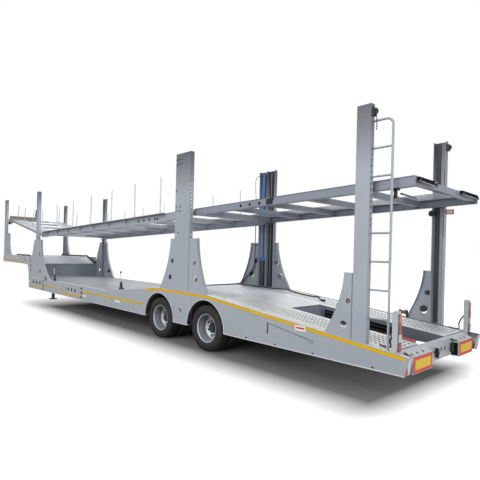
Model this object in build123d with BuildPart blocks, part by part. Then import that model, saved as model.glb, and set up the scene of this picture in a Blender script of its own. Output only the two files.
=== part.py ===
from build123d import *
import os
from math import cos, pi, radians, sin, tan

os.makedirs("parts", exist_ok=True)

# A two-deck car-transporter semi-trailer, in millimetres.
# Stations run forward from the foot of the side frames' rear end; heights run up from the ground.
# +X is forward, +Y is the left side, and the origin is on the ground under the middle.

# ---- overall
BODY_END = 13340  # front of the low body, where the neck steps up
NECK_LENGTH = 3230
LENGTH = BODY_END + NECK_LENGTH
REAR_PROUD = 50  # the skirts' top rear corners lean out this far behind their feet
HALF_WIDTH = 1275
SKIN = 8  # folded plate of the skirts, columns and decks
SEAT = 0.3  # gap left where curved or moving faces seat
MID = (LENGTH - REAR_PROUD) / 2

# ---- running gear
FIRST_AXLE, AXLE_SPACING = 3630, 1480
AXLES = (FIRST_AXLE, FIRST_AXLE + AXLE_SPACING)
TYRE_R, TYRE_HALF, TREAD_HALF = 418, 122.5, 104
LIP_R, SEAT_R, BARREL_R = 262, 247.6, 238
RIM_HALF, RIM_DISC = 99.5, 12
TWIN_PITCH = 275
TYRE_FACE = HALF_WIDTH - 25
TYRE_IN = TYRE_FACE - TWIN_PITCH - 2 * TYRE_HALF  # inner face of the inner twin
ARCH_GAP = 97
ARCH_R = TYRE_R + ARCH_GAP
AXLE_R, SPINDLE_R, HUB_R, DRUM_R = 60, 40, 75, 165
AXLE_HALF = TYRE_IN - 40
BOSS_R = 92
RUN_FIT = 0.05

# ---- lower body
SKIRT_BOTTOM = 400
LIP = 60
REAR_TOP, WELL_TOP = 640, 785
HUMP_REAR, HUMP_FRONT = FIRST_AXLE - 30, AXLES[1] - 10
HUMP_REAR_TOP = TYRE_R + ARCH_R + 99
HUMP_FRONT_TOP = HUMP_REAR_TOP + 10
WELL_START = HUMP_FRONT + 2417
DECK_DROP = 4  # decks lie this far under the frames' top edge
DECK_OUT = HALF_WIDTH - LIP - 2
RUNWAY_OUT = DECK_OUT - 33
RUNWAY_END = 3250
PIT_FRONT = 2330
RAIL_OUT, RAIL_WIDTH, RAIL_PLATE = TYRE_IN - 200, 80, 10
RAIL_IN = RAIL_OUT - RAIL_WIDTH
RAIL_BOTTOM = TYRE_R + BOSS_R + 10
RAIL_DROP = DECK_DROP + SKIN
RAIL_END = BODY_END - 40
CROSS_WIDTH, CROSS_DEPTH = 60, 100
LINER_IN = TYRE_IN - 15

# ---- rear end
BEAM_REAR, BEAM_FRONT = 110, 190
BEAM_BOTTOM, BEAM_TOP = 500, 648
PANEL_BOTTOM = 395
CORNER_WIDTH = 135
MARKER_REAR, MARKER_WIDTH = -5, 565
MARKER_IN = HALF_WIDTH - CORNER_WIDTH - 97 - MARKER_WIDTH
MARKER_BOTTOM, MARKER_TOP = 390, 600
LAMP_DEPTH, LAMP_WIDTH, LAMP_TOP = 65, 95, 1160
LENS_BOTTOM, LENS_TOP, LENS_DEPTH = 700, 1115, 10

# ---- columns
COLUMN_TOP = 3740
COLUMN_DEPTH = 88
COLUMN_IN = HALF_WIDTH - COLUMN_DEPTH
REAR_COLUMN, REAR_COLUMN_WIDTH = 493, 195
MID_COLUMN, MID_COLUMN_WIDTH = 4145, 467
FORE_COLUMN, FORE_COLUMN_WIDTH = BODY_END - 845, 200
FRONT_COLUMN, FRONT_COLUMN_WIDTH = LENGTH - 265, 200
LADDER_X, LADDER_Y, TUBE_R = 235, HALF_WIDTH - 63, 15
RUNGS, RUNG_START, RUNG_PITCH, LADDER_TOP = 7, 1030, 357, 3520

# ---- upper decks
DECK_HALF = COLUMN_IN - 69  # the decks pass between the columns
WING_HALF = HALF_WIDTH - 40
WING_START, WING_END = HUMP_FRONT + 50, FORE_COLUMN - 95
DECK_REAR_TOP = 2792
DECK_PITCH, PLATFORM_PITCH = 2.0, 10.1
REAR_BEAM_DEPTH, MAIN_BEAM_DEPTH, PLATFORM_DEPTH = 132, 170, 60
BEAM_FLANGE = 60
BAR_WIDTH, BAR_DEPTH = 70, 90
TRACK_IN = 420
MID_PIN = MID_COLUMN + 115  # hinge line of the rear deck on the main deck
MAIN_PIN, PLATFORM_PIN = FORE_COLUMN + 50, FORE_COLUMN + 150
PLATFORM_PIN_HEIGHT = 2272
PIN_R, GUIDE_PIN_R, MID_ROLLER_R, FRONT_ROLLER_R = 25, 20, 60, 40
LUG, LUG_R, END_GAP = 50, 45, 60
POST_R, POST_HEIGHT, PLATFORM_POST_HEIGHT = 12, 770, 600

# ---- neck
NECK_TOP, NECK_BOTTOM = 1500, 1225
RAMP_FOOT, RAMP_HEAD = 1250, BODY_END + 610
NECK_RAIL_IN, NECK_CROSS_BOTTOM = 430, 1290
KINGPIN_STATION, KINGPIN_R, KINGPIN_LENGTH = LENGTH - 1270, 25.4, 84
COUPLER = 12
LEG_STATION = BODY_END - 540
LEG, LEG_SLIDER, LEG_FOOT, LEG_SPLIT = 120, 84, 240, 330


def X(station):
    """Frame X of a station."""
    return station - MID


def frame_top_points():
    """Corners of the side frames' top edge, in stations and heights."""
    return [
        (-REAR_PROUD, REAR_TOP),
        (HUMP_REAR, HUMP_REAR_TOP),
        (HUMP_FRONT, HUMP_FRONT_TOP),
        (WELL_START, WELL_TOP),
        (BODY_END, WELL_TOP),
    ]


def frame_top(station):
    """Height of the side frames' top edge."""
    points = frame_top_points()
    for (x0, z0), (x1, z1) in zip(points, points[1:]):
        if station <= x1:
            return z0 + (z1 - z0) * (station - x0) / (x1 - x0)
    return points[-1][1]


def rear_edge(height):
    """Station of the skirts' leaning rear edge."""
    return -REAR_PROUD * (height - SKIRT_BOTTOM) / (REAR_TOP - SKIRT_BOTTOM)


def top_run(start, end, drop=0):
    """The frames' top line from one station to another, lowered by drop."""
    inner = [s for s, _ in frame_top_points() if start < s < end]
    return [(s, frame_top(s) - drop) for s in (start, *inner, end)]


def side_slab(points, y_out, thickness):
    """A plate in the XZ plane: its outline in stations and heights, its outer face at y_out."""
    with BuildPart() as slab:
        with BuildSketch(Plane.XZ.offset(-y_out)):
            with BuildLine():
                Polyline(*[(X(s), z) for s, z in points], close=True)
            make_face()
        extrude(amount=thickness)
    return slab.part


def band(points, thickness):
    """The closed outline of a folded plate hanging under a line of points."""
    return points + [(s, z - thickness) for s, z in reversed(points)]


def block(xs, ys, zs, mode=Mode.ADD):
    """A box between two values on each axis of the current workplane."""
    with Locations(((xs[0] + xs[1]) / 2, (ys[0] + ys[1]) / 2, (zs[0] + zs[1]) / 2)):
        Box(abs(xs[1] - xs[0]), abs(ys[1] - ys[0]), abs(zs[1] - zs[0]), mode=mode)


def rod_y(x, z, radius, y0, y1, mode=Mode.ADD):
    """A round bar along Y in the current workplane."""
    with Locations((x, (y0 + y1) / 2, z)):
        Cylinder(radius, abs(y1 - y0), rotation=(90, 0, 0), mode=mode)


def rod_z(x, y, radius, z0, z1, mode=Mode.ADD):
    """An upright round bar."""
    with Locations((x, y, (z0 + z1) / 2)):
        Cylinder(radius, abs(z1 - z0), mode=mode)


def every(start, end, count):
    """Evenly spaced values from start to end."""
    return [start + (end - start) * k / (count - 1) for k in range(count)]


def write(part, name):
    part.label = name
    export_step(part, f"parts/{name}.step")


# ---- side frames: skirt plate with folded top and bottom lips, cut by two wheel arches
POCKET = [(1290, 565), (1256, 601), (2129, 743), (2123, 572)]  # recess pressed into the rear skirt
with BuildPart() as side_frame:
    skirt = top_run(-REAR_PROUD, BODY_END) + [(BODY_END, SKIRT_BOTTOM), (0, SKIRT_BOTTOM)]
    add(side_slab(skirt, HALF_WIDTH, SKIN))
    add(side_slab(band(top_run(-REAR_PROUD, BODY_END), SKIN), HALF_WIDTH, LIP))
    foot = [(0, SKIRT_BOTTOM + SKIN), (BODY_END, SKIRT_BOTTOM + SKIN)]
    add(side_slab(band(foot, SKIN), HALF_WIDTH, LIP))
    for axle in AXLES:
        rod_y(X(axle), TYRE_R, ARCH_R, HALF_WIDTH - LIP - 1, HALF_WIDTH + 1, Mode.SUBTRACT)
    with BuildSketch(Plane.XZ.offset(-HALF_WIDTH)):
        with BuildLine():
            Polyline(*[(X(s), z) for s, z in POCKET], close=True)
        make_face()
    extrude(amount=SKIN / 2, mode=Mode.SUBTRACT)
write(side_frame.part, "side_frame_left")
write(mirror(side_frame.part, about=Plane.XZ), "side_frame_right")

# ---- inner arch liners over the twin tyres, one solid for each wheel station
with BuildPart() as arch_liners:
    for side in (-1, 1):
        for axle in AXLES:
            y0, y1 = side * LINER_IN, side * (HALF_WIDTH - SKIN)
            rod_y(X(axle), TYRE_R, ARCH_R, y0, y1)
            rod_y(X(axle), TYRE_R, ARCH_R - SKIN / 2, y0, y1, Mode.SUBTRACT)
    block((-MID, MID), (-HALF_WIDTH, HALF_WIDTH), (-ARCH_R, SKIRT_BOTTOM + LIP), Mode.SUBTRACT)
write(arch_liners.part, "arch_liners")

# ---- lower decks
with BuildPart() as runways:
    strip = band(top_run(BEAM_FRONT, RUNWAY_END, DECK_DROP), SKIN)
    add(side_slab(strip, RUNWAY_OUT, RUNWAY_OUT - RAIL_IN))
    mirror(about=Plane.XZ)
write(runways.part, "runways")

with BuildPart() as hump_deck:
    add(side_slab(band(top_run(RUNWAY_END, WELL_START, DECK_DROP), SKIN), DECK_OUT, 2 * DECK_OUT))
    tongue = band(top_run(PIT_FRONT, RUNWAY_END, DECK_DROP), SKIN)
    add(side_slab(tongue, RAIL_IN - 1, 2 * (RAIL_IN - 1)))
write(hump_deck.part, "hump_deck")

with BuildPart() as well_floor:
    heights = (WELL_TOP - DECK_DROP - SKIN, WELL_TOP - DECK_DROP)
    block((X(WELL_START), X(RAIL_END)), (-DECK_OUT, DECK_OUT), heights)
write(well_floor.part, "well_floor")

# ---- the two inner rails under the decks: a web towards the middle, with two flanges
with BuildPart() as inner_rails:
    upper = top_run(BEAM_FRONT, RAIL_END, RAIL_DROP)
    lower = [(BEAM_FRONT, RAIL_BOTTOM + RAIL_PLATE), (RAIL_END, RAIL_BOTTOM + RAIL_PLATE)]
    web = upper + [(RAIL_END, RAIL_BOTTOM), (BEAM_FRONT, RAIL_BOTTOM)]
    add(side_slab(web, RAIL_IN + RAIL_PLATE, RAIL_PLATE))
    for line in (upper, lower):
        add(side_slab(band(line, RAIL_PLATE), RAIL_OUT, RAIL_OUT - RAIL_IN))
    mirror(about=Plane.XZ)
write(inner_rails.part, "inner_rails")

# ---- cross members: centre pieces between the rails, outriggers from the rails to the skirts
well_stations = every(WELL_START + 683, BODY_END - 340, 5)
# columns: station, centre piece wanted, outriggers wanted
cross_table = [
    (900, False, True),
    (1700, False, True),
    (PIT_FRONT + 40, True, True),
    (3000, True, False),
    (sum(AXLES) / 2, True, True),
    (HUMP_FRONT + 900, True, True),
    (HUMP_FRONT + 1900, True, True),
    *[(station, True, True) for station in well_stations],
]
with BuildPart() as cross_members:
    for station, centre, outer in cross_table:
        top = min(frame_top(station - CROSS_WIDTH / 2), frame_top(station + CROSS_WIDTH / 2))
        heights = (top - RAIL_DROP - CROSS_DEPTH, top - RAIL_DROP)
        xs = (X(station - CROSS_WIDTH / 2), X(station + CROSS_WIDTH / 2))
        if centre:
            block(xs, (-RAIL_IN, RAIL_IN), heights)
        if outer:
            for side in (-1, 1):
                block(xs, (side * RAIL_OUT, side * (HALF_WIDTH - SKIN)), heights)
write(cross_members.part, "cross_members")

# ---- rear beam: a box beam with a deeper panel in the middle and a leaning plate at each corner
corner_in = HALF_WIDTH - CORNER_WIDTH
corner_low, corner_high = SKIRT_BOTTOM + SKIN, REAR_TOP - SKIN
cheek_top = REAR_TOP - LIP
lean = [(rear_edge(corner_low), corner_low), (rear_edge(corner_high), corner_high)]
corner_plate = lean + [(s + SKIN, z) for s, z in reversed(lean)]
cheek = [
    (rear_edge(BEAM_BOTTOM) + SKIN, BEAM_BOTTOM),
    (rear_edge(cheek_top) + SKIN, cheek_top),
    (BEAM_REAR, cheek_top),
    (BEAM_REAR, BEAM_BOTTOM),
]
with BuildPart() as rear_beam:
    block((X(BEAM_REAR), X(BEAM_FRONT)), (-DECK_OUT, DECK_OUT), (BEAM_BOTTOM, BEAM_TOP))
    panel_half = MARKER_IN - SKIN
    block((X(BEAM_REAR), X(BEAM_REAR + SKIN)), (-panel_half, panel_half), (PANEL_BOTTOM, BEAM_BOTTOM))
    add(side_slab(corner_plate, HALF_WIDTH - SKIN, CORNER_WIDTH - SKIN))
    add(side_slab(cheek, corner_in + SKIN, SKIN))
    add(side_slab(corner_plate, -corner_in, CORNER_WIDTH - SKIN))
    add(side_slab(cheek, -corner_in, SKIN))
write(rear_beam.part, "rear_beam")

with BuildPart() as marker_boxes:
    for side in (-1, 1):
        ys = (side * MARKER_IN, side * (MARKER_IN + MARKER_WIDTH))
        block((X(MARKER_REAR), X(BEAM_REAR)), ys, (MARKER_BOTTOM, MARKER_TOP))
write(marker_boxes.part, "marker_boxes")

# ---- lamp posts: a foot on the rear beam, a rounded post over the frame's lip, and the lamp strip
lamp_out = HALF_WIDTH - 15
lamp_in = lamp_out - LAMP_WIDTH
lamp_foot = frame_top(BEAM_REAR + LAMP_DEPTH) + SEAT
with BuildPart() as lamp_posts:
    for side in (-1, 1):
        xs = (X(BEAM_REAR - SKIN), X(BEAM_REAR - SKIN + LAMP_DEPTH))
        block(xs, (side * lamp_in, side * lamp_out), (lamp_foot, LAMP_TOP))
    fillet(lamp_posts.edges().filter_by(Axis.Y).group_by(Axis.Z)[-1], radius=LAMP_DEPTH / 2 - 3)
    for side in (-1, 1):
        xs = (X(BEAM_REAR), X(BEAM_REAR - SKIN + LAMP_DEPTH))
        block(xs, (side * lamp_in, side * DECK_OUT), (BEAM_TOP, lamp_foot))
        xs = (X(BEAM_REAR - SKIN - LENS_DEPTH), X(BEAM_REAR - SKIN))
        block(xs, (side * (lamp_in + SKIN), side * (lamp_out - SKIN)), (LENS_BOTTOM, LENS_TOP))
write(lamp_posts.part, "lamp_posts")


# ---- columns
def column(start, width, base, slots, gussets, bearings):
    """A left column: a channel open to the middle, with plate gussets and bored bearing blocks."""
    end = start + width
    foot = [(end, base(end)), (start, base(start))]
    with BuildPart() as post:
        add(side_slab([(start, COLUMN_TOP), (end, COLUMN_TOP)] + foot, HALF_WIDTH, COLUMN_DEPTH))
        inside = (width - (slots + 1) * SKIN) / slots
        for k in range(slots):
            x0 = start + SKIN + k * (inside + SKIN)
            ys = (COLUMN_IN - 1, HALF_WIDTH - SKIN)
            block((X(x0), X(x0 + inside)), ys, (0, COLUMN_TOP + 1), Mode.SUBTRACT)
        for outline in gussets:
            add(side_slab(outline, HALF_WIDTH, SKIN))
        ys = (COLUMN_IN, HALF_WIDTH - SKIN)
        for station, height in bearings:
            block((X(start), X(end)), ys, (height - BEARING_HALF, height + BEARING_HALF))
        for station, height in bearings:
            rod_y(X(station), height, PIN_R, COLUMN_IN - 1, HALF_WIDTH - SKIN, Mode.SUBTRACT)
    return post.part


def columns(name, start, width, base, slots, left, right, bearings=()):
    """Both columns at a station, each with its own gussets."""
    left_column = column(start, width, base, slots, left, bearings)
    right_column = mirror(column(start, width, base, slots, right, bearings), about=Plane.XZ)
    with BuildPart() as pair:
        add(left_column)
        add(right_column)
    write(pair.part, f"columns_{name}")


def gusset(edge, top, reach_top, reach_foot, base, hollow):
    """A gusset's outline: from the column's edge out at a height, down a hollow curve to its foot."""
    steps = 9
    toe = edge + reach_foot
    curve = []
    for k in range(steps + 1):
        t = k / steps
        reach = reach_top + (reach_foot - reach_top) * t**hollow
        curve.append((edge + reach, top + (base(toe) - top) * t))
    # its foot follows the corners of the frame below
    corners = [s for s, _ in frame_top_points() if min(edge, toe) < s < max(edge, toe)]
    sole = [(s, base(s)) for s in sorted(corners, reverse=toe > edge)]
    return [(edge, top)] + curve + sole + [(edge, base(edge))]


def step_gusset(edge, top, reach, knee):
    """The gusset that comes down on the step at the body's front end."""
    shelf = RAMP_FOOT + LIP
    return [
        (edge, top),
        (edge + reach, top),
        knee,
        (BODY_END, shelf),
        (BODY_END, WELL_TOP),
        (edge, WELL_TOP),
    ]


def neck_base(station):
    """The neck's top, where the front columns stand."""
    return NECK_TOP


def deck_height(station, drop):
    """Height at a station of a line that lies drop under the pitched decks' top."""
    return DECK_REAR_TOP - tan(radians(DECK_PITCH)) * station - drop / cos(radians(DECK_PITCH))


BEARING_HALF = 60
main_pin_height = deck_height(MAIN_PIN, MAIN_BEAM_DEPTH / 2)
pins = [(MAIN_PIN, main_pin_height), (PLATFORM_PIN, PLATFORM_PIN_HEIGHT)]
rear_end = REAR_COLUMN + REAR_COLUMN_WIDTH
mid_end = MID_COLUMN + MID_COLUMN_WIDTH
fore_end = FORE_COLUMN + FORE_COLUMN_WIDTH
# the gussets' tops, and their reach at the top and the foot, with a hollow of 1.6 to 3
REAR_GUSSET, MID_GUSSET, FORE_GUSSET, FRONT_GUSSET = 1590, 2065, 2090, 2380
rear_gussets = [gusset(rear_end, REAR_GUSSET, 125, 400, frame_top, 1.7)]
columns("rear", REAR_COLUMN, REAR_COLUMN_WIDTH, frame_top, 1, rear_gussets, rear_gussets)
columns(
    "mid",
    MID_COLUMN,
    MID_COLUMN_WIDTH,
    frame_top,
    2,
    [
        gusset(mid_end, MID_GUSSET, 120, 475, frame_top, 1.8),
        gusset(MID_COLUMN, MID_GUSSET, -245, -550, frame_top, 1.8),
    ],
    [
        gusset(mid_end, MID_GUSSET, 260, 610, frame_top, 1.8),
        gusset(MID_COLUMN, MID_GUSSET, -85, -470, frame_top, 1.8),
    ],
)
columns(
    "fore",
    FORE_COLUMN,
    FORE_COLUMN_WIDTH,
    frame_top,
    1,
    [
        step_gusset(fore_end, FORE_GUSSET, 150, (BODY_END - 220, RAMP_FOOT + 88)),
        gusset(FORE_COLUMN, FORE_GUSSET, -313, -1130, frame_top, 2.5),
    ],
    [
        step_gusset(fore_end, FORE_GUSSET, 320, (BODY_END - 120, RAMP_FOOT + 400)),
        gusset(FORE_COLUMN, FORE_GUSSET, -102, -720, frame_top, 1.8),
    ],
    pins,
)
columns(
    "front",
    FRONT_COLUMN,
    FRONT_COLUMN_WIDTH,
    neck_base,
    1,
    [gusset(FRONT_COLUMN, FRONT_GUSSET, -423, -735, neck_base, 3.0)],
    [gusset(FRONT_COLUMN, FRONT_GUSSET, -144, -490, neck_base, 2.0)],
)

# ---- ladder behind the left rear column: one stile, bent over at its top, and seven rungs
with BuildPart() as ladder:
    ladder_foot = frame_top(LADDER_X - TUBE_R) + SKIN
    with BuildLine() as stile:
        FilletPolyline(
            (X(LADDER_X), LADDER_Y, ladder_foot),
            (X(LADDER_X), LADDER_Y, LADDER_TOP),
            (X(REAR_COLUMN), LADDER_Y, LADDER_TOP),
            radius=6 * TUBE_R,
        )
    with BuildSketch(Plane(origin=stile.line @ 0, z_dir=stile.line % 0)):
        Circle(TUBE_R)
    sweep()
    for k in range(RUNGS):
        middle = (X(LADDER_X) + X(REAR_COLUMN)) / 2
        with Locations((middle, LADDER_Y, RUNG_START + k * RUNG_PITCH)):
            Cylinder(TUBE_R - 2, REAR_COLUMN - LADDER_X, rotation=(0, 90, 0))
write(ladder.part, "ladder")

# ---- lift cylinders in the front slots of the wide columns
BARREL_R_LIFT, ROD_R, HEAD_GAP, BARREL_FOOT, ROD_FOOT, CLEVIS = 36, 17, 60, 2450, 1700, 60
slot = (MID_COLUMN_WIDTH - 3 * SKIN) / 2
lift_x = X(mid_end - SKIN - slot / 2)
lift_y = HALF_WIDTH - SKIN - BARREL_R_LIFT - 2
with BuildPart() as lift_cylinders:
    for side in (-1, 1):
        rod_z(lift_x, side * lift_y, BARREL_R_LIFT, BARREL_FOOT, COLUMN_TOP - HEAD_GAP)
        rod_z(lift_x, side * lift_y, ROD_R, ROD_FOOT, BARREL_FOOT)
        # the rod's foot bracket spans the slot
        ys = (side * (lift_y - ROD_R - 3), side * (HALF_WIDTH - SKIN))
        block((lift_x - slot / 2, lift_x + slot / 2), ys, (ROD_FOOT - CLEVIS, ROD_FOOT))
write(lift_cylinders.part, "lift_cylinders")

# ---- neck: a top plate, its side webs and rails, and the plates across them
neck_half = HALF_WIDTH - SKIN
with BuildPart() as neck_deck:
    block((X(RAMP_HEAD), X(LENGTH)), (-neck_half, neck_half), (NECK_TOP - SKIN, NECK_TOP))
write(neck_deck.part, "neck_deck")

neck_side = [
    (BODY_END, NECK_TOP),
    (LENGTH, NECK_TOP),
    (LENGTH, NECK_BOTTOM),
    (BODY_END + 390, NECK_BOTTOM - 5),
    (BODY_END + 180, NECK_BOTTOM - 20),
    (BODY_END + 60, NECK_BOTTOM - 220),
    (BODY_END, RAIL_BOTTOM),
]
with BuildPart() as neck_rails:
    add(side_slab(neck_side, HALF_WIDTH, SKIN))
    ys = (NECK_RAIL_IN, NECK_RAIL_IN + RAIL_PLATE)
    block((X(RAMP_HEAD), X(LENGTH - SKIN)), ys, (NECK_BOTTOM, NECK_TOP - SKIN))
    mirror(about=Plane.XZ)
write(neck_rails.part, "neck_rails")

with BuildPart() as neck_crosses:
    block((X(LENGTH - SKIN), X(LENGTH)), (-neck_half, neck_half), (NECK_BOTTOM, NECK_TOP - SKIN))
    for station in every(RAMP_HEAD, LENGTH - 670, 3):
        for y0, y1 in (
            (-neck_half, -NECK_RAIL_IN - RAIL_PLATE),
            (-NECK_RAIL_IN, NECK_RAIL_IN),
            (NECK_RAIL_IN + RAIL_PLATE, neck_half),
        ):
            xs = (X(station), X(station + RAIL_PLATE))
            block(xs, (y0, y1), (NECK_CROSS_BOTTOM, NECK_TOP - SKIN))
write(neck_crosses.part, "neck_crosses")

# ---- bulkhead at the step, with the ramp up to the neck
ramp_half = neck_half - 1
with BuildPart() as bulkhead:
    xs = (X(RAIL_END), X(RAIL_END + SKIN))
    block(xs, (-DECK_OUT, DECK_OUT), (SKIRT_BOTTOM + SKIN, WELL_TOP))
    step = [
        (RAIL_END, WELL_TOP),
        (RAIL_END, RAMP_FOOT),
        (RAMP_HEAD, NECK_TOP),
        (RAMP_HEAD, NECK_TOP - SKIN),
        (RAIL_END + SKIN, RAMP_FOOT - SKIN),
        (RAIL_END + SKIN, WELL_TOP),
    ]
    add(side_slab(step, ramp_half, 2 * ramp_half))
    # webs that carry the neck's rails down into the step
    web = [
        (RAIL_END + SKIN, RAIL_BOTTOM),
        (RAIL_END + SKIN, RAMP_FOOT - SKIN),
        (RAMP_HEAD, NECK_TOP - SKIN),
        (RAMP_HEAD, NECK_BOTTOM),
        (RAIL_END + 200, NECK_BOTTOM - LIP),
    ]
    for y_out in (NECK_RAIL_IN + SKIN, -NECK_RAIL_IN):
        add(side_slab(web, y_out, SKIN))
write(bulkhead.part, "bulkhead")

# ---- coupler plate under the neck, with a two-inch kingpin between its two flanges
PLATE_HALF, PIN_FLANGE_TOP_R, PIN_FLANGE_FOOT_R = 600, 36.5, 35.7
FLANGE_TOP, FLANGE_FOOT = 25, 12
with BuildPart() as kingpin_plate:
    face = NECK_BOTTOM - COUPLER
    xs = (X(KINGPIN_STATION - 800), X(LENGTH - 170))
    block(xs, (-PLATE_HALF, PLATE_HALF), (face, NECK_BOTTOM))
    rod_z(X(KINGPIN_STATION), 0, KINGPIN_R, face - KINGPIN_LENGTH, face)
    rod_z(X(KINGPIN_STATION), 0, PIN_FLANGE_TOP_R, face - FLANGE_TOP, face)
    pin_foot = face - KINGPIN_LENGTH
    rod_z(X(KINGPIN_STATION), 0, PIN_FLANGE_FOOT_R, pin_foot, pin_foot + FLANGE_FOOT)
write(kingpin_plate.part, "kingpin_plate")

# ---- landing legs on the outer faces of the inner rails
FOOT_PLATE, CRANK_R, CRANK_HEIGHT = 18, 16, 460
with BuildPart() as landing_legs:
    for side in (-1, 1):
        y = side * (RAIL_OUT + LEG / 2)
        # columns: full width, bottom, top
        for size, low, high in (
            (LEG, LEG_SPLIT, WELL_TOP - RAIL_DROP - 2),
            (LEG_SLIDER, FOOT_PLATE - 3, LEG_SPLIT),
            (LEG_FOOT, 0, FOOT_PLATE),
        ):
            xs = (X(LEG_STATION - size / 2), X(LEG_STATION + size / 2))
            block(xs, (y - size / 2, y + size / 2), (low, high))
    rod_y(X(LEG_STATION), CRANK_HEIGHT, CRANK_R, -RAIL_OUT - 1, RAIL_OUT + 1)
write(landing_legs.part, "landing_legs")

# ---- axles, trailing arms and wheels
hub_plane = TYRE_FACE - TYRE_HALF - TWIN_PITCH / 2
spindle_end = hub_plane + 70
with BuildPart() as axle_beams:
    for axle in AXLES:
        rod_y(X(axle), TYRE_R, AXLE_R, -AXLE_HALF, AXLE_HALF)
        rod_y(X(axle), TYRE_R, SPINDLE_R - RUN_FIT, -spindle_end, spindle_end)
write(axle_beams.part, "axle_beams")

ARM_REACH, ARM_HEIGHT, ARM_END = 480, 80, 110
with BuildPart() as suspension_arms:
    for axle in AXLES:
        for side in (-1, 1):
            ys = (side * RAIL_IN, side * RAIL_OUT)
            arm_low, arm_high = TYRE_R - ARM_HEIGHT / 2, TYRE_R + ARM_HEIGHT / 2
            rod_y(X(axle), TYRE_R, BOSS_R, *ys)
            block((X(axle), X(axle + ARM_REACH)), ys, (arm_low, arm_high))
            block((X(axle + ARM_REACH - ARM_END), X(axle + ARM_REACH)), ys, (arm_low, RAIL_BOTTOM))
            rod_y(X(axle), TYRE_R, AXLE_R + SEAT, *ys, Mode.SUBTRACT)
write(suspension_arms.part, "suspension_arms")


def tyre_half_section():
    """Half of a tyre's section: bead, shoulder, flank, edge and tread as (offset, radius)."""
    flank_r = (LIP_R + TYRE_R) / 2 - 5
    return [
        (RIM_HALF - 9, SEAT_R + SEAT),
        (RIM_HALF - 9, LIP_R + 4),
        (TYRE_HALF, flank_r),
        (TREAD_HALF + 8, TYRE_R - 16),
        (TREAD_HALF - 6, TYRE_R),
    ]


def make_tyres(x, side):
    """The twin tyres of one wheel station, turned about the axle."""
    with BuildPart() as tyres:
        for offset in (-TWIN_PITCH / 2, TWIN_PITCH / 2):
            y = side * hub_plane + offset
            left, right = (
                [(y + turn * e, TYRE_R + r) for e, r in tyre_half_section()] for turn in (-1, 1)
            )
            with BuildSketch(Plane.YZ.offset(x)):
                with BuildLine():
                    Line(left[0], left[1])
                    ThreePointArc(left[1], left[2], left[3])
                    Polyline(left[3], left[4], right[4], right[3])
                    ThreePointArc(right[3], right[2], right[1])
                    Polyline(right[1], right[0], left[0])
                make_face()
            revolve(axis=Axis((x, 0, TYRE_R), (0, 1, 0)))
    return tyres.part


def make_rims(x, side):
    """Two rims back to back on one hub: barrels with lips, dished discs, hub and brake drum."""
    y = side * hub_plane
    near, far = TWIN_PITCH / 2 - RIM_HALF, TWIN_PITCH / 2 + RIM_HALF
    # columns: offset from the twin's middle, radius
    dish_in, dish_out, depth = BARREL_R - 56, BARREL_R + 2, 52
    dish = [
        (0, AXLE_R),
        (0, dish_in),
        (depth, dish_out),
        (depth + RIM_DISC, dish_out),
        (RIM_DISC, dish_in - 4),
        (RIM_DISC, AXLE_R),
    ]
    with BuildPart() as rims:
        for turn in (-1, 1):
            for e0, e1, r in ((near, far, SEAT_R), (near, near + 8, LIP_R), (far - 8, far, LIP_R)):
                rod_y(x, TYRE_R, r, y + turn * e0, y + turn * e1)
            bore = (y + turn * (near - 1), y + turn * (far + 1))
            rod_y(x, TYRE_R, BARREL_R, *bore, Mode.SUBTRACT)
        for turn in (-1, 1):
            with BuildSketch(Plane.YZ.offset(x)):
                with BuildLine():
                    Polyline(*[(y + turn * e, TYRE_R + r) for e, r in dish], close=True)
                make_face()
            revolve(axis=Axis((x, 0, TYRE_R), (0, 1, 0)))
        hub_in, hub_out = TWIN_PITCH * 0.8, spindle_end - hub_plane + 45
        rod_y(x, TYRE_R, HUB_R, y - side * hub_in, y + side * hub_out)
        rod_y(x, TYRE_R, DRUM_R, y - side * (hub_in - 20), y - side * 30)
        bore = (y - side * (hub_in + 1), y + side * (hub_out - 40))
        rod_y(x, TYRE_R, SPINDLE_R, *bore, Mode.SUBTRACT)
    return rims.part


for place, axle in zip(("rear", "front"), AXLES):
    for hand, side in (("left", 1), ("right", -1)):
        write(make_tyres(X(axle), side), f"tyres_{place}_{hand}")
        write(make_rims(X(axle), side), f"rims_{place}_{hand}")

# ---- upper decks, drawn in their own pitched planes: u forward, v left, w up from the deck's top
pitch = radians(DECK_PITCH)
deck_plane = Plane(
    origin=(X(0), 0, DECK_REAR_TOP),
    x_dir=(cos(pitch), 0, -sin(pitch)),
    z_dir=(sin(pitch), 0, cos(pitch)),
)


def on_deck(station, drop=0):
    """Distance along the pitched deck of a point at a station that lies drop under the top."""
    return station / cos(pitch) + drop * tan(pitch)


def side_beams(u0, u1, half, depth):
    """A channel along each side, its web outwards."""
    for side in (-1, 1):
        block((u0, u1), (side * (half - SKIN), side * half), (-depth, 0))
        for w in (-depth, -SKIN):
            block((u0, u1), (side * (half - BEAM_FLANGE), side * half), (w, w + SKIN))


def cross_bars(distances, half, depth):
    """Flat bars across a deck, under its plates."""
    for u in distances:
        xs = (u - BAR_WIDTH / 2, u + BAR_WIDTH / 2)
        block(xs, (-half + SKIN, half - SKIN), (-SKIN - depth, -SKIN))


def tracks(u0, u1, half):
    """The two plates that a car's wheels stand on."""
    for side in (-1, 1):
        block((u0, u1), (side * TRACK_IN, side * (half - BEAM_FLANGE - 1)), (-SKIN, 0))


def posts(rows, v, height):
    """Slim guard posts. Rows: distance along the deck, then each side's lean to the rear."""
    for u, *leans in rows:
        for side, degrees in zip((1, -1), leans):
            tilt = radians(degrees)
            w = height / 2 * cos(tilt) + POST_R * sin(tilt) + SEAT
            place = (u - height / 2 * sin(tilt), side * v, w)
            with Locations(Location(place, (0, -degrees, 0))):
                Cylinder(POST_R, height)


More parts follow.
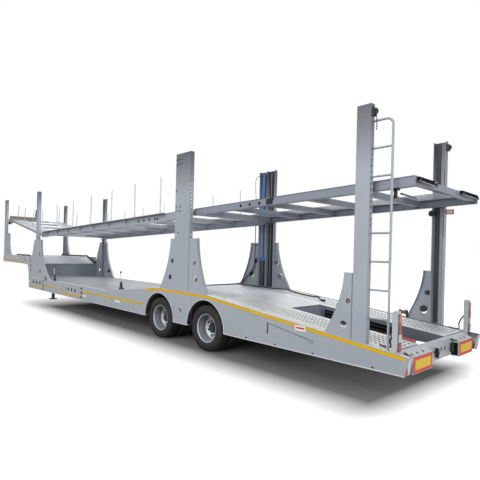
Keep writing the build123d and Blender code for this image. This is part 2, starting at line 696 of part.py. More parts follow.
mid_u = on_deck(MID_PIN, REAR_BEAM_DEPTH / 2)
main_u = on_deck(MAIN_PIN, MAIN_BEAM_DEPTH / 2)
rear_pin_u = on_deck(REAR_COLUMN + SKIN + GUIDE_PIN_R + 14, REAR_BEAM_DEPTH / 2)
pin_end = HALF_WIDTH - SKIN - 25
roller_in = COLUMN_IN + 10
lug_out = DECK_HALF - BEAM_FLANGE - 2
pin_w = -REAR_BEAM_DEPTH / 2

with BuildPart(deck_plane) as rear_deck_frame:
    side_beams(0, mid_u - END_GAP, DECK_HALF, REAR_BEAM_DEPTH)
    cross_bars(every(60, mid_u - END_GAP - 40, 6), DECK_HALF, BAR_DEPTH)
    for side in (-1, 1):
        rod_y(rear_pin_u, pin_w, GUIDE_PIN_R, side * (DECK_HALF - 1), side * pin_end)
        # hinge lugs, bored for the pins of the main deck
        ys = (side * (lug_out - LUG), side * lug_out)
        block((mid_u - END_GAP - LUG, mid_u), ys, (pin_w - LUG_R, pin_w + LUG_R))
        rod_y(mid_u, pin_w, LUG_R, *ys)
        bore = (side * (lug_out - LUG - 1), side * (lug_out + 1))
        rod_y(mid_u, pin_w, PIN_R, *bore, Mode.SUBTRACT)
write(rear_deck_frame.part, "rear_deck_frame")

with BuildPart(deck_plane) as rear_deck_planks:
    tracks(0, mid_u - END_GAP, DECK_HALF)
write(rear_deck_planks.part, "rear_deck_planks")

deck_start = mid_u + END_GAP + 20
with BuildPart(deck_plane) as main_deck_frame:
    side_beams(deck_start, main_u + PIN_R, DECK_HALF, MAIN_BEAM_DEPTH)
    cross_bars(every(deck_start + 20, main_u - 60, 9), DECK_HALF, BAR_DEPTH)
    for side in (-1, 1):
        wing = (side * DECK_HALF, side * WING_HALF)
        block((on_deck(WING_START), on_deck(WING_END)), wing, (-SKIN, 0))
        pin = (side * (DECK_HALF - 1), side * pin_end)
        rod_y(main_u, -MAIN_BEAM_DEPTH / 2, PIN_R - RUN_FIT, *pin)
        # pins for the rear deck, with guide rollers in the columns
        cheek = (side * (DECK_HALF - SKIN), side * DECK_HALF)
        block((mid_u, deck_start + 10), cheek, (pin_w - LUG_R, pin_w + LUG_R))
        rod_y(mid_u, pin_w, LUG_R, *cheek)
        rod_y(mid_u, pin_w, PIN_R - RUN_FIT, side * (lug_out - LUG - 4), side * pin_end)
        rod_y(mid_u, pin_w, MID_ROLLER_R, side * roller_in, side * pin_end)
    # triangular brackets under the overhanging wings
    for station in every(WING_START + 1645, WING_END - 385, 7):
        foot = deck_plane.from_local_coords((on_deck(station), 0, 0))
        with BuildSketch(Plane(origin=foot, x_dir=(0, 1, 0), z_dir=deck_plane.x_dir)):
            for side in (-1, 1):
                with BuildLine():
                    Polyline(
                        (side * DECK_HALF, -SKIN),
                        (side * (WING_HALF - 5), -SKIN),
                        (side * DECK_HALF, -MAIN_BEAM_DEPTH + 5),
                        close=True,
                    )
                make_face()
        extrude(amount=SKIN / 2, both=True)
write(main_deck_frame.part, "main_deck_frame")

with BuildPart(deck_plane) as main_deck_planks:
    tracks(deck_start, main_u + PIN_R, DECK_HALF)
write(main_deck_planks.part, "main_deck_planks")

# columns: share of the wing's length, lean of the left post, lean of the right post, in degrees
post_table = [
    (0.014, 2.6, 0.5),
    (0.157, 0.9, 1.0),
    (0.314, 3.3, 0.5),
    (0.476, 4.2, 1.2),
    (0.641, 5.0, 0.4),
    (0.807, 1.0, 0.8),
    (0.983, 0.5, 0.5),
]
wing_length = WING_END - WING_START
post_rows = [(on_deck(WING_START + f * wing_length), *leans) for f, *leans in post_table]
with BuildPart(deck_plane) as main_deck_posts:
    posts(post_rows, WING_HALF - 30, POST_HEIGHT)
write(main_deck_posts.part, "main_deck_posts")

# ---- front platform, sloping up from its pins to the front columns
rise = radians(PLATFORM_PITCH)
pin_drop = PLATFORM_DEPTH / 2
platform_plane = Plane(
    origin=(X(PLATFORM_PIN) - pin_drop * sin(rise), 0, PLATFORM_PIN_HEIGHT + pin_drop * cos(rise)),
    x_dir=(cos(rise), 0, sin(rise)),
    z_dir=(-sin(rise), 0, cos(rise)),
)


def on_platform(station):
    """Distance along the platform of a station."""
    return (station - PLATFORM_PIN) / cos(rise)


platform_end = on_platform(LENGTH - 50)
front_roller_u = on_platform(FRONT_COLUMN + FRONT_COLUMN_WIDTH / 2 - 25)
with BuildPart(platform_plane) as platform_frame:
    side_beams(-PIN_R, platform_end, DECK_HALF, PLATFORM_DEPTH)
    cross_bars(every(60, platform_end - 60, 5), DECK_HALF, PLATFORM_DEPTH - 2 * SKIN)
    for side in (-1, 1):
        pin = (side * (DECK_HALF - 1), side * pin_end)
        rod_y(0, -pin_drop, PIN_R - RUN_FIT, *pin)
        rod_y(front_roller_u, -pin_drop, PIN_R, *pin)
        rod_y(front_roller_u, -pin_drop, FRONT_ROLLER_R, side * roller_in, side * pin_end)
write(platform_frame.part, "platform_frame")

with BuildPart(platform_plane) as platform_planks:
    tracks(-PIN_R, platform_end, DECK_HALF)
write(platform_planks.part, "platform_planks")

# columns: distance behind the neck's front, lean of the left post, lean of the right post
platform_post_table = [(2180, 3.0, 1.0), (1150, 5.0, 1.0), (320, 5.0, 2.0)]
post_rows = [(on_platform(LENGTH - back), *leans) for back, *leans in platform_post_table]
with BuildPart(platform_plane) as platform_posts:
    posts(post_rows, DECK_HALF - 265, PLATFORM_POST_HEIGHT)
write(platform_posts.part, "platform_posts")


# ---- hoses, each a tube of straight runs and tangent arcs through points (station, Y, Z)
def hose(name, radius, points):
    """Each arc is as large as its two runs allow: 0.45 of the shorter, over the half turn's tangent."""
    corners = [Vector(X(s), y, z) for s, y, z in points]
    runs = [b - a for a, b in zip(corners, corners[1:])]
    radii = []
    for before, after in zip(runs, runs[1:]):
        half_turn = radians(before.get_angle(after)) / 2
        radii.append(0.45 * min(before.length, after.length) / tan(half_turn))
    with BuildPart() as tube:
        with BuildLine() as route:
            FilletPolyline(*corners, radius=radii)
        with BuildSketch(Plane(origin=route.line @ 0, z_dir=route.line % 0)):
            Circle(radius)
        sweep()
    length = sum(edge.length for edge in route.edges())
    share = tube.part.volume / (pi * radius**2 * length)
    print(name, "length", round(length), "radii", [round(r) for r in radii], "share", round(share, 4))
    write(tube.part, name)


hose(
    "deck_hose",
    16,
    [
        (4735, -1218, 1572),
        (4750, -1217, 1480),
        (4832, -1211, 1365),
        (4943, -1204, 1250),
        (5065, -1196, 1137),
        (5197, -1187, 1048),
        (5390, -1178, 1026),
        (5640, -1172, 999),
        (5930, -1172, 968),
        (6230, -1177, 936),
        (6498, -1188, 907),
    ],
)
hose(
    "floor_hose",
    13,
    [
        (5188, -1130, 1044),
        (5070, -1122, 1056),
        (4880, -930, 1051),
        (4650, -1100, 1050),
        (4430, -890, 1048),
        (4210, -1080, 1047),
        (3890, -870, 1045),
        (3610, -1070, 1046),
        (3390, -960, 1019),
        (3130, -925, 992),
        (2910, -965, 968),
        (2790, -1050, 955),
        (2690, -950, 944),
        (2620, -840, 937),
        (2549, -798, 930),
    ],
)
hose(
    "column_hose",
    9,
    [
        (4635, -1225, 3668),
        (4700, -1225, 3662),
        (4762, -1224, 3600),
        (4782, -1222, 3500),
        (4778, -1221, 3380),
        (4760, -1220, 3260),
        (4742, -1219, 3150),
        (4735, -1218, 3062),
    ],
)
hose(
    "neck_hose",
    28,
    [
        (16298, -1120, 1530),
        (15950, -1140, 1531),
        (15500, -1172, 1530),
        (15000, -1176, 1530),
        (14520, -1160, 1531),
        (14190, -1168, 1531),
        (13965, -1176, 1547),
        (13790, -1183, 1475),
        (13600, -1188, 1400),
        (13430, -1190, 1334),
        (13358, -1189, 1306),
    ],
)

# ---- what the hoses come out of: blocks on the decks, and a pipe clipped to the right mid column
ramp_slope = (NECK_TOP - RAMP_FOOT) / (RAMP_HEAD - RAIL_END)
# columns: rear station, front station, inner Y, outer Y, height, the surface it stands on
deck_blocks = [
    (6500, 6580, -1160, -1210, 45, lambda s: frame_top(s) - DECK_DROP),
    (5190, 5250, -1108, -1150, 38, lambda s: frame_top(s) - DECK_DROP),
    (2480, 2540, -775, -825, 38, lambda s: frame_top(s) - DECK_DROP),
    (LENGTH - 270, LENGTH - 190, -1080, -1160, 70, neck_base),
    (RAIL_END, BODY_END + 5, -1150, -1228, 80, lambda s: RAMP_FOOT + 1 + (s - RAIL_END) * ramp_slope),
]
pipe_x, pipe_y = X(4735), -1218
with BuildPart() as hose_fittings:
    for rear, front, y_in, y_out, height, surface in deck_blocks:
        low = [(rear, surface(rear)), (front, surface(front))]
        add(side_slab(low + [(s, z + height) for s, z in reversed(low)], y_in, y_in - y_out))
    block((X(mid_end), X(4634)), (-1245, -1205), (3648, 3688))
    rod_z(pipe_x, pipe_y, 9, 1575, 3060)
    for low in (1575, 3000):
        rod_z(pipe_x, pipe_y, 17, low, low + 60)
    for height in (2000, 2840):
        block((X(mid_end), pipe_x), (pipe_y - 8, pipe_y + 8), (height, height + 20))
write(hose_fittings.part, "hose_fittings")
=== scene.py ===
# %% [markdown]
# # A two-deck car-transporter semi-trailer: finishes and small parts
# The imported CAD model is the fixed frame. It holds every load-carrying piece at its real size, so
# this script adds what CAD leaves out: finishes, perforations, bolts, lamps, stripes and hoses.
# Lengths are in metres. A place along the trailer is a station, counted forward from the foot of
# the side frames' rear end, because that is how a builder would measure it.

# %% Load the frame
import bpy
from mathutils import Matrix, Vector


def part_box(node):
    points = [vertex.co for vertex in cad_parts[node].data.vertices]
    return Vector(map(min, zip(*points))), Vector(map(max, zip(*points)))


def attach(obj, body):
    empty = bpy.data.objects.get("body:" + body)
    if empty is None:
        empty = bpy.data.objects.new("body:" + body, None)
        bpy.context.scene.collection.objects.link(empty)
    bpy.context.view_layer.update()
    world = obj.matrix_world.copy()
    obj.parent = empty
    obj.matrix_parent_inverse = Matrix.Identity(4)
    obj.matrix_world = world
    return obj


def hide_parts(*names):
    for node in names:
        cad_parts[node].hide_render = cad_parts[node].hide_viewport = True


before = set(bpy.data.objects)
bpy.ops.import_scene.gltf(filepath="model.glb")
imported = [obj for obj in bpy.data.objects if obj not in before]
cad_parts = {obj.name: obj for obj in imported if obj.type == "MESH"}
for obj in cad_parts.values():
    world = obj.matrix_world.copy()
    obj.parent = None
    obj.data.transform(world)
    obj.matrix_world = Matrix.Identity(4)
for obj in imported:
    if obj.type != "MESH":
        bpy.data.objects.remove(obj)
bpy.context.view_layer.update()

import math

import bmesh
import bpy
import numpy as np
from mathutils import Matrix, Vector

scene = bpy.context.scene

# %% [markdown]
# ## Values read from the frame
# A part that sits on a CAD piece takes its place from that piece's box, so the two cannot drift
# apart. The side frames' top line is the one outline that a box cannot tell, so its corners are
# written here.

# %% Values from the frame
FRAME_LOW, FRAME_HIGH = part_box("side_frame_left")
HALF_WIDTH = FRAME_HIGH.y
REAR_PROUD = 0.05
ORIGIN_STATION = -REAR_PROUD - FRAME_LOW.x
BODY_END = FRAME_HIGH.x + ORIGIN_STATION
SKIRT_BOTTOM = FRAME_LOW.z
SKIN = 0.008
DECK_DROP = 0.004
TOP_STATIONS = np.array([-REAR_PROUD, 3.6, 5.1, 7.517, BODY_END])
WELL_EDGE = FRAME_HIGH.z - 0.257
TOP_HEIGHTS = np.array([0.64, 1.032, 1.042, WELL_EDGE, WELL_EDGE])
COLUMN_DEPTH = 0.088
AXLES = (3.63, 5.11)
TYRE_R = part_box("tyres_rear_left")[1].z / 2
ARCH_GAP = 0.097
ARCH_R = TYRE_R + ARCH_GAP
NECK_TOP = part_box("neck_deck")[1].z
NECK_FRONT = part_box("neck_deck")[1].x + ORIGIN_STATION
SIDES = (-1, 1)
HANDS = (("left", 1), ("right", -1))


def X(station):
    """Frame X of a station."""
    return station - ORIGIN_STATION


def top_of(station):
    """Height of the side frames' top line, straight from corner to corner."""
    return np.interp(station, TOP_STATIONS, TOP_HEIGHTS)


def spread(side, inner, outer):
    """The Y range between two distances from the middle plane, on one side."""
    return sorted((side * inner, side * outer))


print("half width", round(HALF_WIDTH, 4), "body end", round(BODY_END, 3), "tyre radius", round(TYRE_R, 4))

# %% [markdown]
# ## The camera
# A camera that stands level and turns about the upright axis keeps upright edges parallel, as a
# shifted architectural lens does. A small roll remains. Its place is written as a station along
# the trailer, a distance to the left and a height.

# %% Camera
FRAME_PIXELS = 480
LENS_PIXELS = 418.053
LENS_CENTRE = (212.877, 252.411)
CAMERA_STATION, CAMERA_SIDE, CAMERA_HEIGHT = -2.1669, 6.2097, 1.8074
CAMERA_YAW, CAMERA_ROLL = -0.7216, 0.02534


def add_camera():
    """The view basis is forward, right and up, with right and up turned by the roll."""
    forward = Vector((math.cos(CAMERA_YAW), math.sin(CAMERA_YAW), 0))
    level = Vector((math.sin(CAMERA_YAW), -math.cos(CAMERA_YAW), 0))
    right = math.cos(CAMERA_ROLL) * level + math.sin(CAMERA_ROLL) * Vector((0, 0, 1))
    up = right.cross(forward)
    data = bpy.data.cameras.new("camera")
    camera = bpy.data.objects.new("camera", data)
    scene.collection.objects.link(camera)
    basis = Matrix((right, up, -forward)).transposed().to_4x4()
    place = Vector((X(CAMERA_STATION), CAMERA_SIDE, CAMERA_HEIGHT))
    camera.matrix_world = Matrix.Translation(place) @ basis
    data.sensor_width = 36
    data.lens = LENS_PIXELS * data.sensor_width / FRAME_PIXELS
    data.shift_x = 0.5 - LENS_CENTRE[0] / FRAME_PIXELS
    data.shift_y = LENS_CENTRE[1] / FRAME_PIXELS - 0.5
    scene.camera = camera


add_camera()
print("lens:", round(scene.camera.data.lens, 2), "mm on a", scene.camera.data.sensor_width, "mm frame")

# %% [markdown]
# ## Shader tools
# A material is a small network of nodes. Two short helpers keep the network readable: one adds a
# node and connects its inputs, the other mixes two colours. A group is made by naming its inputs
# and outputs, then filling it in.

# %% Node helpers
def add_node(tree, kind, inputs=None, **settings):
    """Adds a shader node; an input is a plain value or another node's output socket."""
    node = tree.nodes.new("ShaderNode" + kind)
    for key, value in settings.items():
        setattr(node, key, value)
    for key, value in (inputs or {}).items():
        if isinstance(value, bpy.types.NodeSocket):
            tree.links.new(value, node.inputs[key])
        else:
            node.inputs[key].default_value = value
    return node


def mix_colour(tree, factor, first, second):
    """The colour that lies factor of the way from first to second."""
    node = add_node(tree, "Mix", {0: factor, 6: first, 7: second}, data_type="RGBA")
    return node.outputs[2]


def calculate(tree, operation, *values, clamp=False):
    """One arithmetic step on numbers or sockets."""
    node = add_node(tree, "Math", dict(enumerate(values)), operation=operation, use_clamp=clamp)
    return node.outputs[0]


def place_of(tree):
    """Object coordinates: a pattern on them stays with its piece."""
    return add_node(tree, "TexCoord").outputs["Object"]


def part_of(tree, vector, axis):
    """One of a vector's three numbers."""
    return add_node(tree, "SeparateXYZ", {0: vector}).outputs[axis]


def facing_up(tree):
    """The upright part of the normal: 1 on a floor, 0 on a wall, -1 on an underside."""
    return part_of(tree, add_node(tree, "NewGeometry").outputs["Normal"], "Z")


def noise(tree, scale, detail=3.0, roughness=0.55, stretch=(1, 1, 1)):
    """Noise on Object coordinates, stretched along the axes."""
    mapping = add_node(tree, "Mapping", {"Vector": place_of(tree), "Scale": stretch})
    inputs = {"Vector": mapping.outputs[0], "Scale": scale, "Detail": detail, "Roughness": roughness}
    return add_node(tree, "TexNoise", inputs).outputs["Fac"]


def ramp(tree, value, low, high):
    """0 below low, 1 above high, and a straight rise between."""
    inputs = {"Value": value, "From Min": low, "From Max": high}
    return add_node(tree, "MapRange", inputs, clamp=True).outputs[0]


def new_group(name, inputs, outputs):
    """An empty node group with named sockets: (name, default) in, (name, type) out."""
    tree = bpy.data.node_groups.new(name, "ShaderNodeTree")
    for label, value in inputs:
        socket = tree.interface.new_socket(label, in_out="INPUT", socket_type=FLOAT)
        socket.default_value = value
    for label, kind in outputs:
        tree.interface.new_socket(label, in_out="OUTPUT", socket_type=kind)
    return tree, tree.nodes.new("NodeGroupInput").outputs, tree.nodes.new("NodeGroupOutput").inputs


def use_group(tree, group, **inputs):
    """Places a group in a material with its own values."""
    return add_node(tree, "Group", inputs, node_tree=group).outputs


FLOAT, VECTOR = "NodeSocketFloat", "NodeSocketVector"
print("node helpers ready")

# %% [markdown]
# ## Effects that several finishes share
# Four things break up a flat coat of paint. On the real trailer its edges are rubbed paler and
# slightly rounded, and the paler edges also carry a painted highlight. Road dust clings low down
# and on ledges. No sprayed or rolled surface is quite even in tone or smoothness. And painted
# shade darkens undersides, while the tops of the tall columns are made darker between two heights.
# Each is a group, so every finish can have its own amount.

# %% Edge wear and painted highlight
def edge_wear_and_highlight_group():
    """Edges are where a normal averaged over Radius turns away from the face's own normal; paling them is
    wear and a painted highlight.
    """
    inputs = [("Radius", 0.004), ("Gain", 4.0)]
    tree, given, out = new_group("edge_wear", inputs, [("Mask", FLOAT), ("Normal", VECTOR)])
    rounded = add_node(tree, "Bevel", {"Radius": given["Radius"]}, samples=4).outputs[0]
    flat = add_node(tree, "NewGeometry").outputs["Normal"]
    facing = add_node(tree, "VectorMath", {0: rounded, 1: flat}, operation="DOT_PRODUCT").outputs["Value"]
    turned = calculate(tree, "SUBTRACT", 1.0, facing)
    broken = calculate(tree, "ADD", 0.45, noise(tree, 14, 4))
    gained = calculate(tree, "MULTIPLY", calculate(tree, "MULTIPLY", turned, given["Gain"]), broken)
    tree.links.new(calculate(tree, "MINIMUM", gained, 1.0), out["Mask"])
    tree.links.new(rounded, out["Normal"])
    return tree


WEAR_AND_HIGHLIGHT_EDGES = edge_wear_and_highlight_group()
print("group:", WEAR_AND_HIGHLIGHT_EDGES.name)

# %% Road dust
def dust_group():
    """Dust is thicker near the ground and on faces that look up, and it lies in patches."""
    inputs = [("Amount", 0.3), ("Reach", 0.9), ("Patch", 2.5)]
    tree, given, out = new_group("road_dust", inputs, [("Mask", FLOAT)])
    height = part_of(tree, place_of(tree), "Z")
    low = calculate(tree, "SUBTRACT", 1.0, calculate(tree, "DIVIDE", height, given["Reach"]), clamp=True)
    ledge = calculate(tree, "MULTIPLY", calculate(tree, "MAXIMUM", facing_up(tree), 0.0), 0.35)
    patches = ramp(tree, noise(tree, given["Patch"], 6, 0.5), 0.3, 0.75)
    both = calculate(tree, "MULTIPLY", calculate(tree, "ADD", low, ledge), patches)
    tree.links.new(calculate(tree, "MULTIPLY", both, given["Amount"], clamp=True), out["Mask"])
    return tree


DUST = dust_group()
print("group:", DUST.name)

# %% Unevenness
def unevenness_group():
    """A slow drift of tone, a fast grain for bump, and a roughness that follows both."""
    inputs = [("Drift", 1.2), ("Grain", 220.0), ("Low", 0.35), ("High", 0.55)]
    outputs = [("Tone", FLOAT), ("Height", FLOAT), ("Roughness", FLOAT)]
    tree, given, out = new_group("unevenness", inputs, outputs)
    slow, fast = noise(tree, given["Drift"], 5, 0.5), noise(tree, given["Grain"], 2, 0.5)
    broad = calculate(tree, "MULTIPLY", slow, 0.8)
    blend = calculate(tree, "ADD", broad, calculate(tree, "MULTIPLY", fast, 0.2))
    span = calculate(tree, "SUBTRACT", given["High"], given["Low"])
    rise = calculate(tree, "MULTIPLY", span, ramp(tree, blend, 0.3, 0.7))
    tree.links.new(ramp(tree, slow, 0.3, 0.7), out["Tone"])
    tree.links.new(fast, out["Height"])
    tree.links.new(calculate(tree, "ADD", given["Low"], rise), out["Roughness"])
    return tree


UNEVEN = unevenness_group()
print("group:", UNEVEN.name)

# %% Painted shade on undersides, darker column tops
def underside_shade_and_top_darkening_group():
    """Painted shade on faces that look down, and a darker tone between two heights of tall columns."""
    inputs = [("Under", 0.85), ("Top", 0.0), ("From", 2.9), ("To", 3.75)]
    tree, given, out = new_group("old_grime", inputs, [("Mask", FLOAT)])
    down = calculate(tree, "MULTIPLY", facing_up(tree), -1.0, clamp=True)
    under = calculate(tree, "MULTIPLY", down, given["Under"])
    rise = ramp(tree, part_of(tree, place_of(tree), "Z"), given["From"], given["To"])
    total = calculate(tree, "ADD", under, calculate(tree, "MULTIPLY", rise, given["Top"]))
    tree.links.new(calculate(tree, "MINIMUM", total, 1.0), out["Mask"])
    return tree


UNDERSIDE_SHADE_AND_TOP_DARKENING = underside_shade_and_top_darkening_group()
print("group:", UNDERSIDE_SHADE_AND_TOP_DARKENING.name)

# %% [markdown]
# ## Painted and plain finishes
# Most of the trailer wears one satin blue-grey paint, sprayed after welding. The same recipe with
# other values makes the black chassis paint, the blue cylinders, plastics and stripes. So the
# recipe is one function. One table holds how surfaces feel, and another gives each finish its
# surface and its three colours.

# %% Finish recipe
DUST_COLOUR = (0.30, 0.27, 0.23, 1)
# the dark colour of the painted shade on undersides and of the darker tone high on the columns
UNDERSIDE_SHADE_AND_TOP_COLOUR = (0.060, 0.062, 0.070, 1)
BUMP_DISTANCE = 0.002


def rgba(red, green, blue):
    """A colour written as it looks on a screen, turned into light amounts."""
    return tuple(((v + 0.055) / 1.055) ** 2.4 if v > 0.04 else v / 12.92 for v in (red, green, blue)) + (1,)


def new_material(name):
    """An empty material, its node tree and its shader."""
    material = bpy.data.materials.new(name)
    material.use_nodes = True
    return material, material.node_tree, material.node_tree.nodes["Principled BSDF"]


def connect(tree, shader, colour, rough, height, depth, **normal):
    """Links what changes over the surface: colour, roughness and a fine bump."""
    inputs = {"Height": height, "Distance": BUMP_DISTANCE, "Strength": depth, **normal}
    bump = add_node(tree, "Bump", inputs).outputs[0]
    for socket, value in (("Base Color", colour), ("Roughness", rough), ("Normal", bump)):
        tree.links.new(value, shader.inputs[socket])


def make_finish(name, base, varied, edge, low, high, dust, grain, depth, metal, wear_and_highlight, top, shine):
    """Base colour drifts to a second one, edges go to a third as wear and painted highlight, dust lies over
    all, and painted shade darkens undersides.
    """
    material, tree, shader = new_material(name)
    uneven = use_group(tree, UNEVEN, Grain=grain, Low=low, High=high)
    edges = use_group(tree, WEAR_AND_HIGHLIGHT_EDGES, Gain=wear_and_highlight)
    dusty = use_group(tree, DUST, Amount=dust)["Mask"]
    colour = mix_colour(tree, uneven["Tone"], rgba(*base), rgba(*varied))
    # paler edges: rubbed wear and a painted highlight
    colour = mix_colour(tree, edges["Mask"], colour, rgba(*edge))
    colour = mix_colour(tree, dusty, colour, DUST_COLOUR)
    # painted shade on faces that look down, and a darker tone high up on the columns
    colour = mix_colour(tree, use_group(tree, UNDERSIDE_SHADE_AND_TOP_DARKENING, Top=top)["Mask"], colour, UNDERSIDE_SHADE_AND_TOP_COLOUR)
    rough = calculate(tree, "ADD", uneven["Roughness"], calculate(tree, "MULTIPLY", dusty, 0.3), clamp=True)
    shader.inputs["Metallic"].default_value = metal
    shader.inputs["Specular IOR Level"].default_value = shine
    connect(tree, shader, colour, rough, uneven["Height"], depth, Normal=edges["Normal"])
    return material


# columns: roughness low and high, dust, grain, bump depth, metal, edge wear and highlight, darkening upwards,
# shine
SURFACES = {
    "satin_paint": (0.34, 0.48, 0.22, 260, 0.03, 0, 2.2, 0, 0.5),
    "column_paint": (0.34, 0.48, 0.22, 260, 0.03, 0, 2.2, 0.9, 0.5),
    "dead_black": (0.8, 0.95, 0.05, 200, 0.02, 0, 1, 0, 0.1),
    "shaded_paint": (0.36, 0.5, 0.25, 260, 0.03, 0, 2, 0, 0.5),
    "dark_paint": (0.4, 0.55, 0.3, 260, 0.03, 0, 2, 0, 0.5),
    "light_paint": (0.34, 0.48, 0.2, 260, 0.03, 0, 2, 0, 0.5),
    "pale_paint": (0.4, 0.6, 0.15, 240, 0.03, 0, 2, 0, 0.5),
    "chassis_paint": (0.45, 0.7, 0.5, 160, 0.08, 0, 2, 0, 0.5),
    "dark_steel": (0.35, 0.55, 0.2, 200, 0.05, 0.4, 3, 0, 0.5),
    "grained_plastic": (0.5, 0.7, 0.3, 300, 0.12, 0, 2, 0, 0.5),
    "machined_steel": (0.25, 0.4, 0.15, 300, 0.04, 1, 2, 0, 0.5),
    "zinc_coat": (0.35, 0.5, 0.1, 180, 0.05, 0.7, 2, 0, 0.5),
    "rim_lacquer": (0.28, 0.42, 0.25, 260, 0.03, 0.35, 2, 0, 0.5),
    "gloss_enamel": (0.25, 0.4, 0.1, 220, 0.03, 0, 2, 0, 0.5),
    "rubber": (0.5, 0.7, 0.4, 320, 0.15, 0, 1, 0, 0.5),
    "smooth_rubber": (0.4, 0.55, 0.1, 320, 0.05, 0, 1, 0, 0.5),
    "tape": (0.5, 0.6, 0.06, 420, 0.06, 0, 1, 0, 0.2),
    "reflector": (0.4, 0.55, 0.04, 420, 0.08, 0, 1, 0, 0.25),
    "lens": (0.1, 0.22, 0.05, 150, 0.12, 0, 1, 0, 0.5),
    "worn_enamel": (0.3, 0.45, 0.15, 220, 0.03, 0, 2, 0, 0.5),
    "label": (0.35, 0.5, 0.08, 400, 0.02, 0, 1, 0, 0.5),
    "timber": (0.6, 0.8, 0.3, 60, 0.2, 0, 1, 0, 0.5),
    "stain": (0.6, 0.8, 0.2, 200, 0.05, 0, 1, 0, 0.5),
    "rust": (0.6, 0.85, 0.3, 90, 0.2, 0.2, 1, 0, 0.5),
}
# columns: surface, base, second tone, edge tone
FINISHES = {
    "paint": ("satin_paint", (0.61, 0.64, 0.68), (0.64, 0.67, 0.705), (0.74, 0.76, 0.78)),
    "paint_column": ("column_paint", (0.61, 0.64, 0.68), (0.64, 0.67, 0.705), (0.74, 0.76, 0.78)),
    # opening: painted shade in holes, slots, windows and hollows, and a few small black parts
    "opening": ("dead_black", (0.02, 0.02, 0.025), (0.03, 0.03, 0.035), (0.05, 0.05, 0.05)),
    "paint_shade": ("shaded_paint", (0.5, 0.53, 0.58), (0.53, 0.56, 0.61), (0.66, 0.69, 0.72)),
    "paint_dark": ("dark_paint", (0.36, 0.39, 0.43), (0.41, 0.44, 0.48), (0.55, 0.58, 0.61)),
    "paint_light": ("light_paint", (0.7, 0.73, 0.75), (0.67, 0.7, 0.72), (0.8, 0.82, 0.83)),
    # paint_pale: a pale paint for painted highlights on lips and rims
    "paint_pale": ("pale_paint", (0.83, 0.84, 0.85), (0.78, 0.79, 0.81), (0.88, 0.89, 0.9)),
    "chassis": ("chassis_paint", (0.1, 0.1, 0.11), (0.14, 0.14, 0.15), (0.24, 0.24, 0.24)),
    "black_steel": ("dark_steel", (0.07, 0.07, 0.08), (0.1, 0.1, 0.11), (0.3, 0.3, 0.31)),
    "black_plastic": ("grained_plastic", (0.05, 0.05, 0.055), (0.08, 0.08, 0.085), (0.14, 0.14, 0.14)),
    "machined": ("machined_steel", (0.62, 0.62, 0.63), (0.52, 0.52, 0.53), (0.8, 0.8, 0.8)),
    "zinc": ("zinc_coat", (0.72, 0.73, 0.74), (0.62, 0.63, 0.65), (0.85, 0.85, 0.86)),
    "rim_silver": ("rim_lacquer", (0.68, 0.7, 0.72), (0.62, 0.64, 0.67), (0.86, 0.87, 0.88)),
    "cylinder_blue": ("gloss_enamel", (0.03, 0.44, 0.74), (0.03, 0.38, 0.67), (0.2, 0.55, 0.8)),
    "hose_black": ("rubber", (0.06, 0.06, 0.065), (0.1, 0.1, 0.1), (0.16, 0.16, 0.16)),
    "hose_grey": ("smooth_rubber", (0.76, 0.77, 0.79), (0.69, 0.7, 0.72), (0.82, 0.82, 0.84)),
    "stripe_yellow": ("tape", (0.88, 0.71, 0.04), (0.83, 0.66, 0.03), (0.92, 0.78, 0.1)),
    "plate_yellow": ("reflector", (0.92, 0.76, 0.07), (0.87, 0.7, 0.05), (0.95, 0.84, 0.2)),
    "plate_red": ("reflector", (0.85, 0.17, 0.09), (0.8, 0.14, 0.08), (0.9, 0.3, 0.2)),
    "lens_amber": ("lens", (0.9, 0.46, 0.2), (0.84, 0.4, 0.15), (0.95, 0.6, 0.35)),
    "lens_red": ("lens", (0.66, 0.13, 0.13), (0.55, 0.09, 0.1), (0.8, 0.3, 0.28)),
    "lens_clear": ("lens", (0.8, 0.8, 0.81), (0.72, 0.73, 0.75), (0.9, 0.9, 0.9)),
    "paint_red": ("worn_enamel", (0.8, 0.22, 0.17), (0.72, 0.18, 0.14), (0.88, 0.4, 0.33)),
    "label_white": ("label", (0.9, 0.9, 0.9), (0.86, 0.86, 0.87), (0.95, 0.95, 0.95)),
    "board_brown": ("timber", (0.56, 0.52, 0.46), (0.44, 0.39, 0.33), (0.64, 0.6, 0.55)),
    # painted shadow line under the skirt's top lip
    "rust_dark": ("stain", (0.4, 0.33, 0.27), (0.34, 0.29, 0.25), (0.5, 0.45, 0.4)),
    "rusty": ("rust", (0.54, 0.47, 0.42), (0.42, 0.34, 0.29), (0.62, 0.55, 0.5)),
}
M = {
    name: make_finish(name, *colours, *SURFACES[surface])
    for name, (surface, *colours) in FINISHES.items()
}
print(len(M), "finishes from one recipe")

# %% [markdown]
# ## Finishes with a structure of their own
# Galvanised deck plates show zinc crystals and the grey paths that tyres leave. A tyre is dull
# black with a browner, dustier tread. These differ from the paint recipe in what drives the
# colour, so each has a short function of its own.

